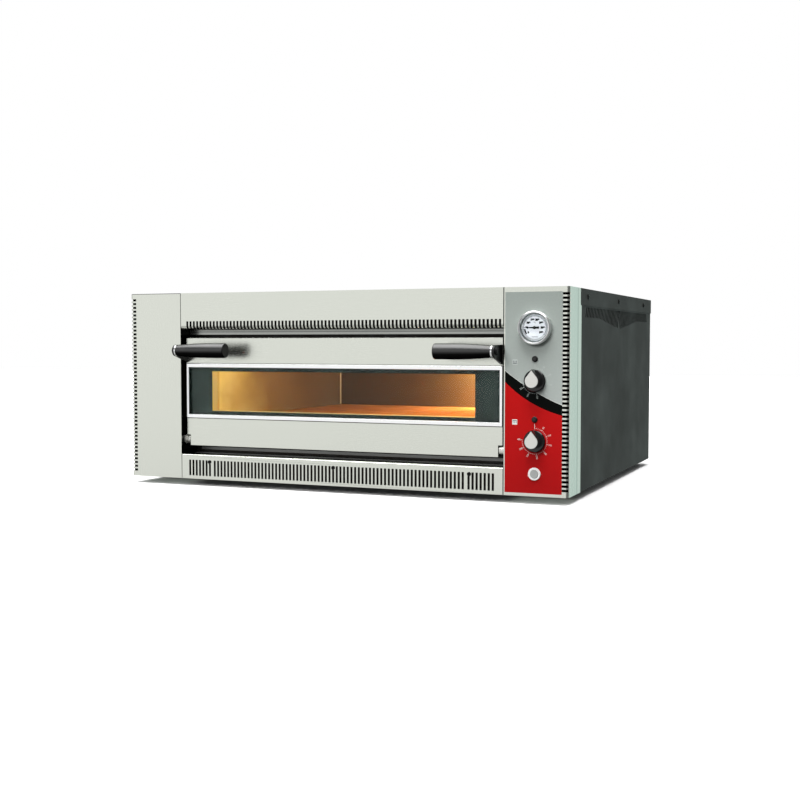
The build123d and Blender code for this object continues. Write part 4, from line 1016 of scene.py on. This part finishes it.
def small_parts():
    """Sill strip and lip at the mouth in darker steel, painted shade of the recess; a pale bead in the
    chamber's back-left corner, a painted highlight; black felt behind the side vents, painted shade.
    """
    # Darker steel strips at the mouth: painted shade of the recess.
    grille_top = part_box("lower_grille")[1].z
    mouth = case_point(0, MOUTH_DEPTH, 0).y
    low = Vector((-SILL_HALF, mouth - SILL_FRONT, grille_top + TOUCH))
    high = Vector((SILL_HALF, mouth - SILL_BACK, grille_top + SILL_TOP))
    add_bar("sill_strip", low, high, "sill_steel")
    low = Vector((-LIP_HALF, mouth - LIP_THICKNESS, grille_top + LIP_LOW))
    high = Vector((LIP_HALF, mouth - TOUCH, grille_top + LIP_TOP))
    add_bar("mouth_lip", low, high, "sill_steel")
    # Pale bead in the back-left corner of the chamber: a painted highlight.
    stone_low, stone_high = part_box("hearth_stones")
    chamber_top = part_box("chamber_shell")[1].z
    low = Vector((stone_low.x + BEAD_GAP, stone_high.y - BEAD_SIZE, stone_high.z + 0.0005))
    high = Vector((stone_low.x + BEAD_SIZE, stone_high.y - BEAD_GAP, chamber_top - 0.004))
    add_bar("chamber_corner_highlight", low, high, "bead_highlight_steel")
    # Black felt sheets behind the side vents: painted shade inside the vents.
    side_low, side_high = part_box("right_side_panel")
    deep, shallow = side_high.x - FELT_DEEP, side_high.x - FELT_SHALLOW
    for name, reach in (("vent_shade_right", (deep, shallow)), ("vent_shade_left", (-shallow, -deep))):
        low = Vector((reach[0], side_low.y + FELT_MARGIN, CASE.z + FELT_LOW))
        high = Vector((reach[1], side_high.y - FELT_MARGIN, CASE.z + FELT_HIGH))
        add_bar(name, low, high, "vent_shade_felt")


# ---------------------------------------------------------------- door springs
COILS = 9
COIL_STEPS = 28
END_TURN = 0.75
WIRE = 0.002
WIRE_SIDES = 8


def coil_spring(name, x, y, z_low, z_high, radius):
    """A round-wire compression spring with flattened end turns."""
    mesh = bmesh.new()
    rings = []
    steps = COILS * COIL_STEPS
    for i in range(steps + 1):
        share = i / steps
        turn = 2 * math.pi * COILS * share
        rise = min(1.0, max(0.0, (share * COILS - END_TURN) / (COILS - 2 * END_TURN)))
        z = z_low + WIRE / 2 + rise * (z_high - z_low - WIRE)
        out = Vector((math.cos(turn), math.sin(turn), 0))
        centre = Vector((x, y, z)) + out * radius
        ring = []
        for k in range(WIRE_SIDES):
            angle = 2 * math.pi * k / WIRE_SIDES
            up = Vector((0, 0, WIRE / 2 * math.sin(angle)))
            ring.append(mesh.verts.new(centre + out * (WIRE / 2 * math.cos(angle)) + up))
        rings.append(ring)
    for first, second in zip(rings, rings[1:]):
        for k in range(WIRE_SIDES):
            after = (k + 1) % WIRE_SIDES
            mesh.faces.new((first[k], first[after], second[after], second[k]))
    mesh.faces.new(list(reversed(rings[0])))
    mesh.faces.new(rings[-1])
    return finish_piece(mesh, name, ["spring_steel"], "chassis", smooth=True)


def door_springs():
    """Two coil springs in place of the plain tubes."""
    low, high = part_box("door_springs")
    radius = (high.y - low.y) / 2
    y = (low.y + high.y) / 2
    for side, name in ((1, "door_spring_right"), (-1, "door_spring_left")):
        x = side * (high.x - radius)
        spring = coil_spring(name, x, y, low.z, high.z, radius - WIRE / 2)
        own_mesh(spring)
        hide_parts("door_springs")


# ---------------------------------------------------------------- build everything
bpy.context.scene.view_settings.view_transform = "Standard"
make_camera()
make_world()
make_sun("top_light", elevation=80, azimuth=-5, strength=4.2, width=34)
make_sun("key_light", elevation=25, azimuth=-20, strength=1.75, width=25)
make_glow("chamber_glow", middle("lamp_lens") - LAMP_STANDOFF, energy=4.6)
make_glow("chamber_fill", case_point(165, 650, 250), energy=5.8)
make_floor()
dress_cad_nodes()
overlay_fields()
knob_scale("upper_knob_scale", "knob_upper", "pale_ink")
knob_scale("lower_knob_scale", "knob_lower", "white_ink")
heat_icon("upper_heat_icon", 257.0, True)
heat_icon("lower_heat_icon", 142.0, False)
gauge_print()
small_parts()
door_springs()
